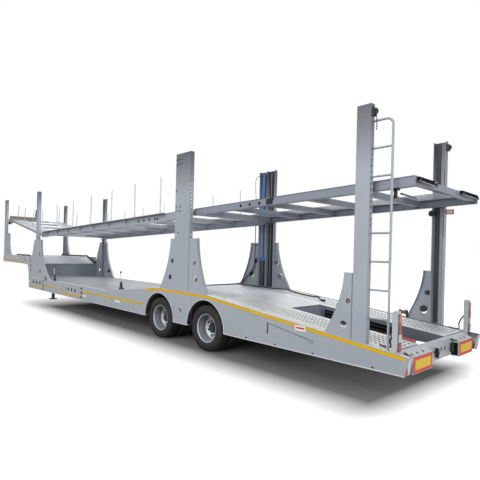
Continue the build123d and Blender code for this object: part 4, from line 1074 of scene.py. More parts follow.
# %% Runway plates
def on_slope(u, v, w):
    """The lower deck's rear slope: u is the station, w is straight up from the deck's top."""
    return np.stack([X(u), v, top_of(u) - DECK_DROP + w], -1)


RAIL_OUT, RUNWAY_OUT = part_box("inner_rails")[1].y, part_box("runways")[1].y
RAIL_IN = RAIL_OUT - 0.08
RUNWAY_START, RUNWAY_END = 0.19, 3.25
HOLES_IN, HOLES_OUT = RAIL_IN + 0.10, RUNWAY_OUT - 0.10
END_STRIP = 0.03
HOLE_PITCH, HOLE_SIZE = (0.060, 0.112), (0.036, 0.050)
FIRST_HOLE, LAST_HOLE = RUNWAY_START + END_STRIP, RUNWAY_END - END_STRIP
# columns: first and last station, distances from the middle of the plain strips round the holes
BORDERS = [
    (RUNWAY_START, RUNWAY_END, RAIL_IN, HOLES_IN), (RUNWAY_START, RUNWAY_END, HOLES_OUT, RUNWAY_OUT),
    (RUNWAY_START, FIRST_HOLE, HOLES_IN, HOLES_OUT), (LAST_HOLE, RUNWAY_END, HOLES_IN, HOLES_OUT),
]


def holed_strip(start, end, side, plane):
    """The perforated middle of a wheel track between two stations."""
    return perforated((start, end), spread(side, HOLES_IN, HOLES_OUT), HOLE_PITCH, HOLE_SIZE, plane)


def track_sheet(start, end, inner, outer, low, high, side, plane):
    """A plain sheet of a wheel track, between two heights above the deck's top."""
    y = spread(side, inner, outer)
    return laid(boxes((start, y[0], low), (end, y[1], high)), plane)


runways = []
for side in SIDES:
    runways.append(holed_strip(FIRST_HOLE, LAST_HOLE, side, on_slope))
    runways += [track_sheet(*row, -SKIN, 0, side, on_slope) for row in BORDERS]
runway = make_piece("runway_plates", runways, "runway_plate")
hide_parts("runways")
print("runway plates:", len(runway.data.polygons), "faces")

# %% [markdown]
# ## Grip plates on the hump
# The same holes go on over the hump, further on the left side than on the right. Here the plate lies
# on the deck, so a thin dark sheet between plate and deck makes the holes dark. Another dark sheet,
# painted shade, hangs under each runway, where daylight would otherwise shine up through the holes.

# %% Hump grip plates
HUMP_KINK = TOP_STATIONS[1]
GRIP_START = RUNWAY_END + END_STRIP
GRIP_ENDS = {1: 4.6, -1: 3.9}


def on_hump(u, v, w):
    """The same slope 4 mm up, so that a 3 mm plate clears the hump deck."""
    return on_slope(u, v, w) + (0, 0, 0.004)


grip, hole_darkening_sheets = [], []
for side, end in GRIP_ENDS.items():
    grip.append(holed_strip(GRIP_START, end, side, on_hump))
    for low, high in ((GRIP_START, HUMP_KINK), (HUMP_KINK, end)):
        row = (low + 0.001, high - 0.001, HOLES_IN + 0.01, HOLES_OUT - 0.01, -0.0025, -0.0015)
        hole_darkening_sheets.append(track_sheet(*row, side, on_hump))
# dark sheets under the runways: painted shade behind the holes
for side in SIDES:
    row = (RUNWAY_START + 0.02, RUNWAY_END - 0.12, RAIL_OUT, RUNWAY_OUT - 0.02, -0.050, -0.046)
    hole_darkening_sheets.append(track_sheet(*row, side, on_slope))
make_piece("hump_grip_plates", grip, "hump_plate")
make_piece("runway_undersheets", hole_darkening_sheets, "opening")
print("grip plates end at", ", ".join(f"{end} m" for end in GRIP_ENDS.values()))

# %% [markdown]
# ## Upper deck plates
# The upper decks' wheel tracks are the same kind of plate, laid in each deck's own pitched plane.
# The plane is set by a point and a slope: along it runs u, across it v, and up from it w.

# %% Upper deck plates
DECK_REAR_TOP, DECK_PITCH = 2.792, math.radians(2.0)
PLATFORM_PITCH = math.radians(10.1)
PLATFORM_PIN = (12.645, 2.272)
TRACK_IN, TRACK_OUT = 0.42, 1.057


def on_deck(u, v, w):
    """The pitched decks' plane falls forward by DECK_PITCH from the rear deck's top edge."""
    u, v, w = np.broadcast_arrays(u, v, w)
    c, s = math.cos(DECK_PITCH), math.sin(DECK_PITCH)
    return np.stack([X(0) + u * c + w * s, v, DECK_REAR_TOP - u * s + w * c], -1)


def on_platform(u, v, w):
    """The platform's plane rises forward by PLATFORM_PITCH; its top lies 30 mm above its pins."""
    u, v, w = np.broadcast_arrays(u, v, w)
    c, s = math.cos(PLATFORM_PITCH), math.sin(PLATFORM_PITCH)
    x = X(PLATFORM_PIN[0]) + u * c - (w + 0.03) * s
    return np.stack([x, v, PLATFORM_PIN[1] + u * s + (w + 0.03) * c], -1)


def deck_distance(station, drop=0.0):
    """u of the point of the pitched decks at a station, drop under their top."""
    return station / math.cos(DECK_PITCH) + drop * math.tan(DECK_PITCH)


DECK_HINGE = deck_distance(4.26, 0.066)
MAIN_START = DECK_HINGE + 0.08
MAIN_END = deck_distance(12.545, 0.085) + 0.025
PLATFORM_END = (NECK_FRONT - 0.05 - PLATFORM_PIN[0]) / math.cos(PLATFORM_PITCH)
# columns: piece, body, plane, start, end, pitch, hole
TRACKS = [
    ("rear_deck_planks", "rear_deck", on_deck, 0.0, DECK_HINGE - 0.06, 0.053, 0.034),
    ("main_deck_planks", "main_deck", on_deck, MAIN_START, MAIN_END, 0.07, 0.044),
    ("platform_planks", "front_platform", on_platform, -0.025, PLATFORM_END, 0.07, 0.036),
]
for node, body, plane, start, end, pitch, hole in TRACKS:
    plates = [
        perforated((start, end), spread(side, TRACK_IN, TRACK_OUT), (pitch, pitch), (hole, hole), plane)
        for side in SIDES
    ]
    plate = make_piece(node + "_plates", plates, "hump_plate", body)
    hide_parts(node)
    print(plate.name, len(plate.data.polygons), "faces")

# %% [markdown]
# ## Wheels
# Each wheel station is a pair of tyres on two rims, back to back on one hub. A tyre is a profile
# turned round the axle. The profile goes from the bead up a flank with three fine ribs to the
# shoulder, then across a tread with four grooves. The shoulder blocks come from a square wave of
# the angle, which lowers the radius between blocks.

# %% Tyre profile
TWIN_PITCH, HUB_PLANE = 0.275, 0.990
# columns: distance from the tyre's middle, radius
FLANK = [
    (0.0905, 0.2480), (0.0925, 0.2640), (0.0990, 0.2700), (0.1075, 0.2780), (0.1090, 0.2790),
    (0.1100, 0.2830), (0.1130, 0.2890), (0.1165, 0.3000), (0.1185, 0.3020), (0.1180, 0.3060),
    (0.1205, 0.3200), (0.1225, 0.3350), (0.1222, 0.3480), (0.1225, 0.3500), (0.1205, 0.3530),
    (0.1185, 0.3660), (0.1160, 0.3780), (0.1145, 0.3820), (0.1125, 0.3835), (0.1105, 0.3950),
    (0.1070, 0.4050), (0.1020, 0.4110), (0.0960, 0.4150),
]
GROOVES, GROOVE_WIDTH, GROOVE_DEPTH = (0.0615, 0.0205), 0.009, 0.011
TREAD_R = TYRE_R - 0.0005


def tyre_profile():
    """Flank, tread with grooves, and the mirrored flank, as (distance from the middle, radius)."""
    tread = []
    mouth, bottom = GROOVE_WIDTH / 2, GROOVE_WIDTH / 2 - 0.002
    for middle in GROOVES:
        tread += [(middle + mouth, TREAD_R), (middle + bottom, TREAD_R - GROOVE_DEPTH)]
        tread += [(middle - bottom, TREAD_R - GROOVE_DEPTH), (middle - mouth, TREAD_R)]
    half = np.array(FLANK + tread)
    return np.concatenate([half, half[::-1] * (-1, 1)])


def turned_tyre(centre, segments=180, blocks=60):
    """Points, faces and tread marks; between blocks the shoulder's radius drops a little."""
    profile = tyre_profile()
    points, faces = lathe(profile, (0, 0, 0), 1, segments)
    grid = points.reshape(segments, len(profile), 3)
    shoulder = (abs(profile[:, 0]) > 0.070) & (profile[:, 1] > 0.385)
    gap = (np.arange(segments) % (segments // blocks)) == 0
    factor = np.where(gap[:, None] & shoulder[None, :], 1 - 0.006 / TYRE_R, 1.0)
    grid[..., 0] *= factor
    grid[..., 2] *= factor
    rows = grid_faces(segments, len(profile), close_rows=True, close_columns=True)
    tread = np.broadcast_to((profile[:, 1] > 0.40) & (abs(profile[:, 0]) < 0.104), grid.shape[:2])
    return (grid + np.asarray(centre)).reshape(-1, 3), rows, tread.ravel()


def twin_tyres(place, hand, axle, side):
    """Both tyres of a wheel station in one mesh, with the tread marked by a point attribute."""
    centre = np.array([X(axle), side * HUB_PLANE, TYRE_R])
    first, second = (turned_tyre(centre + (0, shift, 0)) for shift in (-TWIN_PITCH / 2, TWIN_PITCH / 2))
    points, faces, tread = (np.concatenate(pair) for pair in zip(first, second))
    faces[len(first[1]):] += len(first[0])
    mesh = bpy.data.meshes.new("tyre_pair")
    mesh.from_pydata(points.tolist(), [], faces.tolist())
    marks = mesh.attributes.new("tread", "FLOAT", "POINT")
    marks.data.foreach_set("value", tread.astype(np.float32))
    mesh.materials.append(M["tyre"])
    tidy_mesh(mesh, 40)
    piece = add_piece(f"tyre_pair_{place}_{hand}", mesh, f"wheels_{place}_{hand}")
    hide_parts(f"tyres_{place}_{hand}")
    return piece


print("a tyre's profile has", len(tyre_profile()), "points")

# %% [markdown]
# ## Rims and hubs
# The outer rim of a twin pair is turned inside out: its lip stands at the tyre's face and its disc
# lies deep inside, so the hub shows at the bottom of a bright bowl. The rim is one closed profile
# turned round the axle. Hand holes are dark discs of painted shade in the disc, with eight nuts in a
# ring inside them.

# %% Rims
# columns: distance outwards from the hub plane, radius
RIM_OUTLINE = [
    (0.002, 0.080), (0.014, 0.082), (0.014, 0.150), (0.018, 0.163), (0.030, 0.186), (0.042, 0.205),
    (0.050, 0.222), (0.058, 0.228), (0.092, 0.2275), (0.120, 0.2270), (0.150, 0.2300),
    (0.172, 0.2360), (0.200, 0.2385), (0.2215, 0.2400), (0.2285, 0.2450), (0.2315, 0.2520),
    (0.2330, 0.2580), (0.2370, 0.2615), (0.2365, 0.2640), (0.2310, 0.2640), (0.2280, 0.2580),
    (0.2270, 0.2478), (0.0385, 0.2478), (0.0380, 0.2630), (0.0330, 0.2630), (0.0320, 0.2440),
    (0.0360, 0.2400), (0.0400, 0.2350), (0.0300, 0.2180), (0.0160, 0.1880), (0.0040, 0.1660),
    (0.0020, 0.1500),
]
HUB = [
    (-0.200, 0.060), (-0.200, 0.120), (-0.030, 0.120), (0.000, 0.100), (0.060, 0.097),
    (0.066, 0.090), (0.070, 0.076), (0.100, 0.074), (0.108, 0.068), (0.112, 0.055),
    (0.113, 0.030), (0.117, 0.024), (0.1175, 0.0),
]
NUT_CIRCLE, NUT_R, HAND_CIRCLE = 0.1375, 0.0155, 0.188


def ring_of(count, radius, centre, turn=0.0):
    """Centres evenly spaced on a circle in the wheel's plane."""
    angle = np.arange(count) * 2 * np.pi / count + turn
    circle = np.stack([np.cos(angle), np.zeros(count), np.sin(angle)], -1)
    return np.asarray(centre) + radius * circle


def wheel_details(place, hand, axle, side):
    """Rims, hub, nuts, and the hand holes as dark discs of painted shade, of one wheel station."""
    body = f"wheels_{place}_{hand}"
    centre = np.array([X(axle), side * HUB_PLANE, TYRE_R])
    outline = np.array(RIM_OUTLINE)
    rims = []
    for turn in (1, -1):
        points, _ = lathe(outline * (side * turn, 1), centre, 1, 72)
        rims.append((points, grid_faces(72, len(outline), close_rows=True, close_columns=True)))
    rims.append(lathe(np.array(HUB[:3] + [(-0.030, 0.060)]) * (side, 1), centre, 1, 48))
    rim = make_piece(f"rim_pair_{place}_{hand}", rims, "rim_silver", body, 30)
    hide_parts(f"rims_{place}_{hand}")
    hub = [lathe(np.array(HUB[3:]) * (side, 1), centre, 1, 48)]
    face = centre + (0, side * 0.014, 0)
    hub.append(studs(ring_of(8, NUT_CIRCLE, face), 1, NUT_R, side * 0.024))
    hub.append(studs(ring_of(8, NUT_CIRCLE, face), 1, 0.009, side * 0.040, sides=10))
    hub.append(studs(ring_of(10, 0.083, centre + (0, side * 0.062, 0)), 1, 0.0065, side * 0.010))
    make_piece(f"hub_{place}_{hand}", hub, "black_steel", body, 30)
    # the hand holes are dark discs of painted shade, not cut
    hole_place = centre + (0, side * 0.024, 0)
    holes = studs(ring_of(8, HAND_CIRCLE, hole_place, 0.39), 1, 0.024, side * 0.012, sides=16)
    valve = studs([centre + (0.17, side * 0.03, 0.12)], 1, 0.004, side * 0.09, sides=8)
    make_piece(f"hand_hole_shade_{place}_{hand}", [holes, valve], "opening", body)


for place, axle in zip(("rear", "front"), AXLES):
    for hand, side in HANDS:
        tyres = twin_tyres(place, hand, axle, side)
        wheel_details(place, hand, axle, side)
print("one pair of tyres has", len(tyres.data.polygons), "faces")

# %% [markdown]
# ## Lamps and marker plates at the rear
# Each rear post carries a strip of five lenses: amber, two red ones, a clear one and red again. Wide
# reflecting plates, yellow with a red border, mark how far the load reaches to each side. They are
# stuck on bent boxes, whose lids have drain holes and whose inner ends are open; the holes and the
# open ends are dark patches of painted shade.

# %% Rear lamps
LENS_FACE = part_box("lamp_posts")[0].x
LENS_IN, LENS_OUT = 1.176, 1.249
# columns: bottom, top, finish
LENSES = [
    (1.018, 1.116, "lens_amber"), (0.953, 1.014, "lens_red"), (0.884, 0.949, "lens_red"),
    (0.786, 0.880, "lens_clear"), (0.681, 0.776, "lens_red"),
]
for index, (low, high, finish) in enumerate(LENSES):
    lens = boxes((LENS_FACE - 0.007, LENS_IN, low), (LENS_FACE + 0.001, LENS_OUT, high))
    rib_lows = [(LENS_FACE - 0.0085, LENS_IN + 0.004, z) for z in np.arange(low + 0.008, high - 0.004, 0.010)]
    ridges = boxes(rib_lows, np.add(rib_lows, (0.002, LENS_OUT - LENS_IN - 0.008, 0.004)))
    make_piece(f"lamp_lens_{index}", both_sides(lens) + both_sides(ridges), finish)
surround = boxes((LENS_FACE - 0.003, LENS_IN - 0.006, 0.674), (LENS_FACE + 0.002, LENS_OUT + 0.006, 1.121))
make_piece("lamp_surrounds", both_sides(surround), "black_plastic")
# columns: station, distance from the middle, height
LEAD = [
    (0.168, 1.190, 0.905), (0.205, 1.175, 0.850), (0.232, 1.165, 0.775),
    (0.222, 1.160, 0.700), (0.300, 1.155, 0.690), (0.370, 1.150, 0.705),
]
lead = tube([(X(s), y, z) for s, y, z in LEAD], 0.012, 8)
make_piece("lamp_leads", both_sides(lead), "hose_black")
print(len(LENSES), "lenses on each post")

# %% Marker plates
PLATE_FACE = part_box("marker_boxes")[0].x
PANEL_FACE = X(0.110)
LID, LID_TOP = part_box("marker_boxes")[1].z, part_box("rear_beam")[1].z
LID_HOLES = (0.66, 0.825, 0.98, -0.514, -0.682, -0.836)
LID_SLOPE, LID_SKIN = (LID_TOP - LID) / (PANEL_FACE - PLATE_FACE), 0.004
# columns: piece, distances from the middle, bottom, top, how far it stands out, finish
REFLECTORS = [
    ("marker_borders", 0.492, 1.036, 0.397, 0.594, 0.002, "plate_red"),
    ("marker_centres", 0.536, 0.992, 0.437, 0.557, 0.003, "plate_yellow"),
]
for name, inner, outer, low, high, proud, finish in REFLECTORS:
    plate = boxes((PLATE_FACE - proud, inner, low), (PLATE_FACE + 0.001, outer, high))
    make_piece(name, both_sides(plate), finish)
lid = [
    (PLATE_FACE, LID - LID_SKIN), (PLATE_FACE, LID),
    (PANEL_FACE, LID_TOP), (PANEL_FACE, LID_TOP - LID_SKIN),
]
make_piece("marker_lids", both_sides(slab(lid, 1, 0.478, 1.043)), "paint_light")
# drain holes in the lids and the boxes' open inner ends: dark patches of painted shade
points, faces = studs([(X(0.045), y, LID) for y in LID_HOLES], 2, 0.019, 0.0015, sides=14)
points[:, 2] += LID_SLOPE * (points[:, 0] - PLATE_FACE)
end = boxes((X(0.012), 0.4765, 0.405), (X(0.100), 0.4785, 0.585))
make_piece("marker_openings", [(points, faces), *both_sides(end)], "opening")
print("marker plates and openings on both boxes")

# %% [markdown]
# ## Tape, slots and hooks on the rear beam
# A strip of tape, white above and red below, warns at each leaning corner plate. The middle panel
# has two slanted slots, dark patches of painted shade, between a pair of black hooks, where a loading
# ramp hangs on. A red pipe lies along the inner edge of the left runway.

# %% Rear beam fittings
def rear_lean(z):
    """Frame X of the leaning corner plates' rear face at a height."""
    return np.interp(z, (SKIRT_BOTTOM, TOP_HEIGHTS[0]), (X(0), X(-REAR_PROUD)))


def corner_tape(outline):
    """A flat patch on the corner plate, its outline given as (distance from the middle, height)."""
    y, z = np.array(outline, float).T
    back, front = (np.stack([rear_lean(z) - shift, y, z], -1) for shift in (0.0015, -0.0005))
    count = len(outline)
    caps = [list(range(count)), [count + i for i in range(count)]]
    return np.concatenate([back, front]), grid_faces(2, count, close_columns=True) + caps


white = corner_tape([(1.158, 0.420), (1.188, 0.420), (1.262, 0.545), (1.262, 0.625), (1.226, 0.625)])
red = corner_tape([(1.196, 0.412), (1.264, 0.412), (1.264, 0.532)])
make_piece("corner_tape_white", both_sides(white), "label_white")
make_piece("corner_tape_red", both_sides(red), "plate_red")
angle = np.arange(16) * np.pi / 8
leaning = np.stack([0.016 * np.cos(angle), 0.034 * np.sin(angle)], -1) @ [[0.94, 0.34], [-0.34, 0.94]]
# the slanted slots are dark patches of painted shade
slots = [
    slab(leaning + centre, 0, PANEL_FACE - 0.0015, PANEL_FACE + 0.001)
    for centre in ((-0.131, 0.524), (-0.261, 0.523))
]
make_piece("panel_slots", slots, "opening")
hooks = []
turn = np.linspace(-0.6, 3.6, 18)
for y, hand in ((0.085, 1), (-0.47, -1)):
    hooks.append(boxes((PANEL_FACE - 0.05, y - 0.008, 0.44), (PANEL_FACE + 0.001, y + 0.008, 0.57)))
    across = y - hand * (0.012 + 0.026 * np.sin(turn))
    bow = np.stack([np.full(18, PANEL_FACE - 0.035), across, 0.505 + 0.034 * np.cos(turn)], -1)
    hooks.append(tube(bow, 0.010, 10))
    hooks.append(studs([(PANEL_FACE - 0.010, y + hand * 0.05, 0.52)], 0, 0.014, 0.011))
make_piece("ramp_hooks", hooks, "black_steel")
pipe_path = np.linspace((X(0.215), 0.464, 0.684), (X(0.56), 0.464, 0.721), 8)
make_piece("red_pipe", [tube(pipe_path, 0.015, 14)], "paint_red")
print("rear beam fittings in place")

# %% [markdown]
# ## Inside the deck pit
# Between the runways the deck is open, and the eye falls on dark chassis work below it. Slats of
# black steel lie level with the lower edge of the rails. The rails have long windows, dark sheets of
# painted shade, crossed by bars, and a plain wall closes the pit at the front. A small winch drum
# sits by the right side frame.

# %% Pit slats and winch
SLAT_SIZE = (0.105, 0.90, 0.012)
# outlines as (station, height)
WINDOW = [(0.95, 0.50), (0.95, 0.675), (2.24, 0.812), (2.24, 0.50)]
WINDOW_BAR = [(0.96, 0.52), (0.96, 0.53), (2.23, 0.68), (2.23, 0.66)]
slats = [(X(s), -0.45, 0.425) for s in np.arange(0.195, 2.30, 0.135)]
make_piece("pit_slats", [boxes(slats, np.add(slats, SLAT_SIZE))], "chassis")
windows, bars = [], []
for side in SIDES:
    near = side * (RAIL_IN + 0.001)
    windows.append(slab([(X(s), z) for s, z in WINDOW], 1, near, side * (RAIL_IN - 0.002)))
    for lift in (0.035, 0.10):
        bar = [(X(s), z + lift) for s, z in WINDOW_BAR]
        bars.append(slab(bar, 1, near, side * (RAIL_IN - 0.010)))
# the rails' windows are dark sheets of painted shade
make_piece("rail_windows", windows, "opening")
make_piece("rail_bars", bars, "chassis")
front_wall = boxes((X(2.314), -RAIL_IN, 0.440), (X(2.320), RAIL_IN, 0.868))
make_piece("pit_front_wall", [front_wall], "paint_shade")
DRUM = [
    (0, 0.0), (0, 0.050), (0.010, 0.050), (0.010, 0.034),
    (0.115, 0.034), (0.115, 0.050), (0.125, 0.050), (0.125, 0.0),
]
make_piece("winch_drum", [lathe(DRUM, (X(1.075), -1.205, 0.845), 0, 28)], "rusty")
cradle = [boxes((X(s), -1.24, 0.715), (X(s) + 0.006, -1.165, 0.87)) for s in (1.065, 1.204)]
make_piece("winch_cradle", cradle, "black_steel")
print("pit slats:", len(slats))

# %% [markdown]
# ## Column fittings
# Chains inside the columns lift the decks. Their sheaves show at the tops of the rear columns. In the
# open channels, dark strips on both sides of a guide rail are painted shade. Setting bolts and stubs of
# pipe behind the gusset holes are the small dark marks on otherwise plain paint.

# %% Shade strips and guide rails
COLUMN_BACK = HALF_WIDTH - SKIN
# columns: station range of the channel, bottom, top
CHANNELS = [
    (4.157, 4.373, 1.05, 3.735), (4.385, 4.600, 1.05, 1.63),
    (12.505, 12.685, 0.80, 3.735), (16.315, 16.495, 1.51, 3.735),
]
REAR_STRIP = (0.590, 0.664, 0.72, 3.735)


def channel_strip(start, end, low, high, depth):
    """An upright strip on the back of a column's channel, on both sides."""
    return both_sides(boxes((X(start), COLUMN_BACK - depth, low), (X(end), COLUMN_BACK + 0.001, high)))


strips, rails = [], []
for start, end, low, high in CHANNELS:
    width, middle = end - start, (start + end) / 2
    for a, b in ((0.06, 0.42), (0.52, 0.94)):
        strips += channel_strip(start + a * width, start + b * width, low, high, 0.010)
    rails += channel_strip(middle - 0.011, middle + 0.011, low, high, 0.05)
strips += channel_strip(*REAR_STRIP, 0.010)
# dark strips in the column channels: painted shade
make_piece("guide_strips", strips, "chassis")
make_piece("guide_rails", rails, "paint_dark")
print(len(strips), "greased strips and", len(rails), "guide rails")

# %% Sheaves and chain
# columns: distance from the sheave's middle, radius
SHEAVE = [
    (-0.020, 0.0), (-0.020, 0.020), (-0.014, 0.022), (-0.014, 0.042), (-0.006, 0.046), (-0.003, 0.036),
    (0.003, 0.036), (0.006, 0.046), (0.014, 0.042), (0.014, 0.022), (0.020, 0.020), (0.020, 0.0),
]
SHEAVE_X, SHEAVE_Y, SHEAVE_Z = X(0.468), 1.232, 3.634
wheels = []
for side in SIDES:
    y = side * SHEAVE_Y
    wheels.append(lathe(SHEAVE, (SHEAVE_X, y, SHEAVE_Z), 1, 32))
    for cheek in (y - 0.03, y + 0.022):
        low = np.array([SHEAVE_X - 0.012, cheek, SHEAVE_Z - 0.055])
        wheels.append(boxes(low, low + (0.042, 0.008, 0.110)))
make_piece("column_sheaves", wheels, "black_steel")
turn = np.linspace(0, 2 * np.pi, 13)
links = []
for k in range(9):
    flat, deep = (0.007, 0.0) if k % 2 else (0.0, 0.007)
    z = 3.560 - 0.019 * k + 0.012 * np.cos(turn)
    path = np.stack([X(0.440) + flat * np.sin(turn), SHEAVE_Y + deep * np.sin(turn), z], -1)
    links.append(tube(path, 0.0028, 6))
make_piece("hanging_chain", links, "black_steel")
print("two sheaves and", len(links), "chain links")

# %% Bolts, stubs and rollers
# columns: station, height of dark bolts on the middle columns' outer faces
MID_BOLTS = [
    (4.430, 3.625), (4.430, 3.535), (4.515, 3.625), (4.515, 3.535), (4.585, 3.625), (4.585, 3.520),
    (4.455, 2.690), (4.455, 2.605), (4.585, 2.690), (4.585, 2.605), (4.585, 3.012), (4.500, 2.183),
]
bolts = []
for side in SIDES:
    centres = [(X(s), side * (HALF_WIDTH - 0.001), z) for s, z in MID_BOLTS]
    bolts.append(studs(centres, 1, 0.013, side * 0.008, sides=6))
    bolts.append(studs(centres, 1, 0.018, side * 0.003, sides=16))
make_piece("column_bolts", bolts, "black_steel")
# stubs behind the gusset holes by finish; columns: station, height, radius, side
STUBS = {
    "rusty": [
        (3.965, 1.602, 0.048, 1), (3.905, 1.290, 0.054, 1), (0.764, 1.226, 0.034, 1),
        (4.085, 1.606, 0.042, -1), (3.985, 1.300, 0.054, -1),
    ],
    "chassis": [
        (4.672, 1.622, 0.056, 1), (4.740, 1.298, 0.060, 1), (0.818, 0.948, 0.056, 1),
        (4.700, 1.632, 0.056, -1), (4.868, 1.315, 0.060, -1), (0.752, 1.219, 0.040, -1),
        (0.812, 0.935, 0.056, -1), (12.220, 1.018, 0.066, 1), (12.300, 1.600, 0.056, 1),
        (13.120, 1.025, 0.056, 1), (15.970, 1.680, 0.056, 1), (12.200, 1.018, 0.066, -1),
    ],
}
for finish, rows in STUBS.items():
    stubs = [
        studs([(X(s), side * (COLUMN_BACK - 0.004), z)], 1, r, -side * 0.03, sides=20)
        for s, z, r, side in rows
    ]
    make_piece(f"gusset_stubs_{finish}", stubs, finish)
ROLLER = [
    (-0.022, 0.0), (-0.022, 0.022), (-0.016, 0.022), (-0.016, 0.052),
    (0.016, 0.052), (0.016, 0.022), (0.022, 0.022), (0.022, 0.0),
]
make_piece("carriage_roller", [lathe(ROLLER, (X(0.695), -1.20, 2.556), 1, 36)], "black_steel")
lamp = boxes((X(0.372), -1.250, 2.532), (X(0.489), -1.236, 2.612))
make_piece("side_lamp", [lamp], "plate_red")
lens = boxes((X(0.388), -1.236, 2.548), (X(0.474), -1.232, 2.598))
make_piece("side_lamp_lens", [lens], "label_white")
print("bolts, stubs and rollers placed")

# %% [markdown]
# ## Fittings on the upper decks
# The rear deck's end beam has two long pockets with bright rods, where short bridging ramps lie
# when they are put away; the pockets are dark boxes of painted shade. The decks' side webs have round
# holes, dark discs of painted shade, and a dark edge along the top and bottom of each web is the bent
# lip in shadow. These ride on the decks, so they tilt with them.

# %% Upper deck fittings
def deck_strip(u_range, v_range, w_range, plane=on_deck):
    """A box in a deck's own plane."""
    return laid(boxes(*np.array([u_range, v_range, w_range]).T), plane)


WEB_OUT = 1.118


def web_lips(u_range, depth, lip):
    """Strips along the top and the bottom edge of a web, on both sides."""
    v_range = (WEB_OUT - 0.02, WEB_OUT + 0.005)
    top = deck_strip(u_range, v_range, (-0.012, 0.001))
    bottom = deck_strip(u_range, v_range, (-depth - 0.001, -depth + lip))
    return both_sides(top) + both_sides(bottom)


make_piece("rear_deck_lips", web_lips((0.01, 4.19), 0.132, 0.010), "paint_dark", "rear_deck")
make_piece("main_deck_lips", web_lips((4.36, 5.1), 0.170, 0.012), "paint_dark", "main_deck")
# A pale rim along each wing's edge is a painted highlight, and a dark band under the wing is painted shade.
rim = both_sides(deck_strip((5.155, 12.40), (1.2355, 1.2405), (-0.012, 0.002)))
make_piece("wing_rims", rim, "paint_pale", "main_deck")
shade = both_sides(deck_strip((5.16, 12.39), (1.120, 1.236), (-0.017, -0.013)))
make_piece("wing_undersides", shade, "paint_dark", "main_deck")


# columns: deck, distances along it, height below its top, radius
WEB_HOLES = [
    ("rear", (2.318, 2.501, 2.715, 2.928), -0.070, 0.024),
    ("main", (5.480, 5.580, 5.800, 6.028, 6.264), -0.095, 0.028),
]
# the web holes are dark discs of painted shade
for deck, distances, w, radius in WEB_HOLES:
    discs = []
    for side in SIDES:
        centres = [(u, side * (WEB_OUT - 0.001), w) for u in distances]
        discs.append(laid(studs(centres, 1, radius, side * 0.003, sides=16), on_deck))
    make_piece(deck + "_web_holes", discs, "opening", deck + "_deck")
print("lips and holes on the webs")

# %% Bridging ramp pockets and latches
# the pockets are dark boxes of painted shade
pockets = [
    deck_strip((-0.012, 0.03), across, (-0.052, -0.004)) for across in ((0.56, 1.00), (-1.10, -0.45))
]
make_piece("ramp_pockets", pockets, "opening", "rear_deck")
rods, ends = [], []
for low, high in ((0.50, 1.04), (-1.10, -0.42)):
    path = np.linspace((-0.020, low, -0.068), (-0.020, high, -0.062), 6)
    rods.append(laid(tube(path, 0.006, 10), on_deck))
    for v in (low + 0.02, high - 0.03):
        ends.append(deck_strip((-0.028, 0.0), (v - 0.012, v + 0.012), (-0.078, -0.030)))
make_piece("ramp_rods", rods, "zinc", "rear_deck")
make_piece("ramp_rod_ends", ends, "black_steel", "rear_deck")
# columns: ranges along the deck, across it and up from it
LATCHES = [
    ((0.20, 0.24), (1.145, 1.165), (-0.26, -0.14)), ((0.19, 0.26), (1.10, 1.165), (-0.16, -0.13)),
    ((2.22, 2.34), (1.118, 1.132), (-0.11, -0.02)), ((2.20, 2.25), (1.118, 1.150), (-0.05, -0.01)),
]
latches = [deck_strip(*row) for row in LATCHES]
make_piece("deck_latches", latches, "black_steel", "rear_deck")
stay = np.linspace((0.27, 0.90, -0.165), (0.29, 0.42, -0.170), 6)
make_piece("deck_stay", [laid(tube(stay, 0.013, 10), on_deck)], "paint_dark", "rear_deck")
print("upper deck fittings ride on both decks")

# %% [markdown]
# ## Post collars
# Each guard post on the main deck is a loose tube dropped into a socket. The socket shows as a
# short collar on a flat washer.

# %% Post collars
POST_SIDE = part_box("main_deck_posts")[1].y - 0.012
POST_STATIONS = (5.2515, 6.2883, 7.4265, 8.6010, 9.7973, 11.0008, 12.2768)
collars = []
for station in POST_STATIONS:
    u = deck_distance(station)
    for side in SIDES:
        for radius, high in ((0.021, 0.050), (0.026, 0.008)):
            collar = studs([(u, side * POST_SIDE, 0.0)], 2, radius, high, sides=14)
            collars.append(laid(collar, on_deck))
make_piece("post_collars", collars, "zinc", "main_deck")
print(len(POST_STATIONS) * 2, "post collars")

# %% [markdown]
# ## Neck, bulkhead and well floor
# Each of the neck's side plates has two rounded slots for lashings, and one more stands in the
# gusset beside the bulkhead; the slots are dark ovals of painted shade. Black brackets on the left edge
# of the well floor and of the hump hold levers that lock the deck plates. Upright seams cross the
# bulkhead, and a lid slopes from its top edge up to the neck, its paler paint painted light.

# %% Neck slots and levers
# columns: station, height, half length, half height of dark slots in the left and right side plates
DARK_SLOTS = [
    (14.25, 1.402, 0.034, 0.036), (13.811, 1.384, 0.034, 0.042), (13.161, 1.180, 0.034, 0.050),
]
# the lashing slots are dark ovals of painted shade
slots = []
for side in SIDES:
    face = side * (HALF_WIDTH + 0.0004)
    slots += [slab(oval(*row, 16), 1, face, face - side * 0.002) for row in DARK_SLOTS]
make_piece("neck_slots", slots, "opening")

WELL_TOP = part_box("well_floor")[1].z
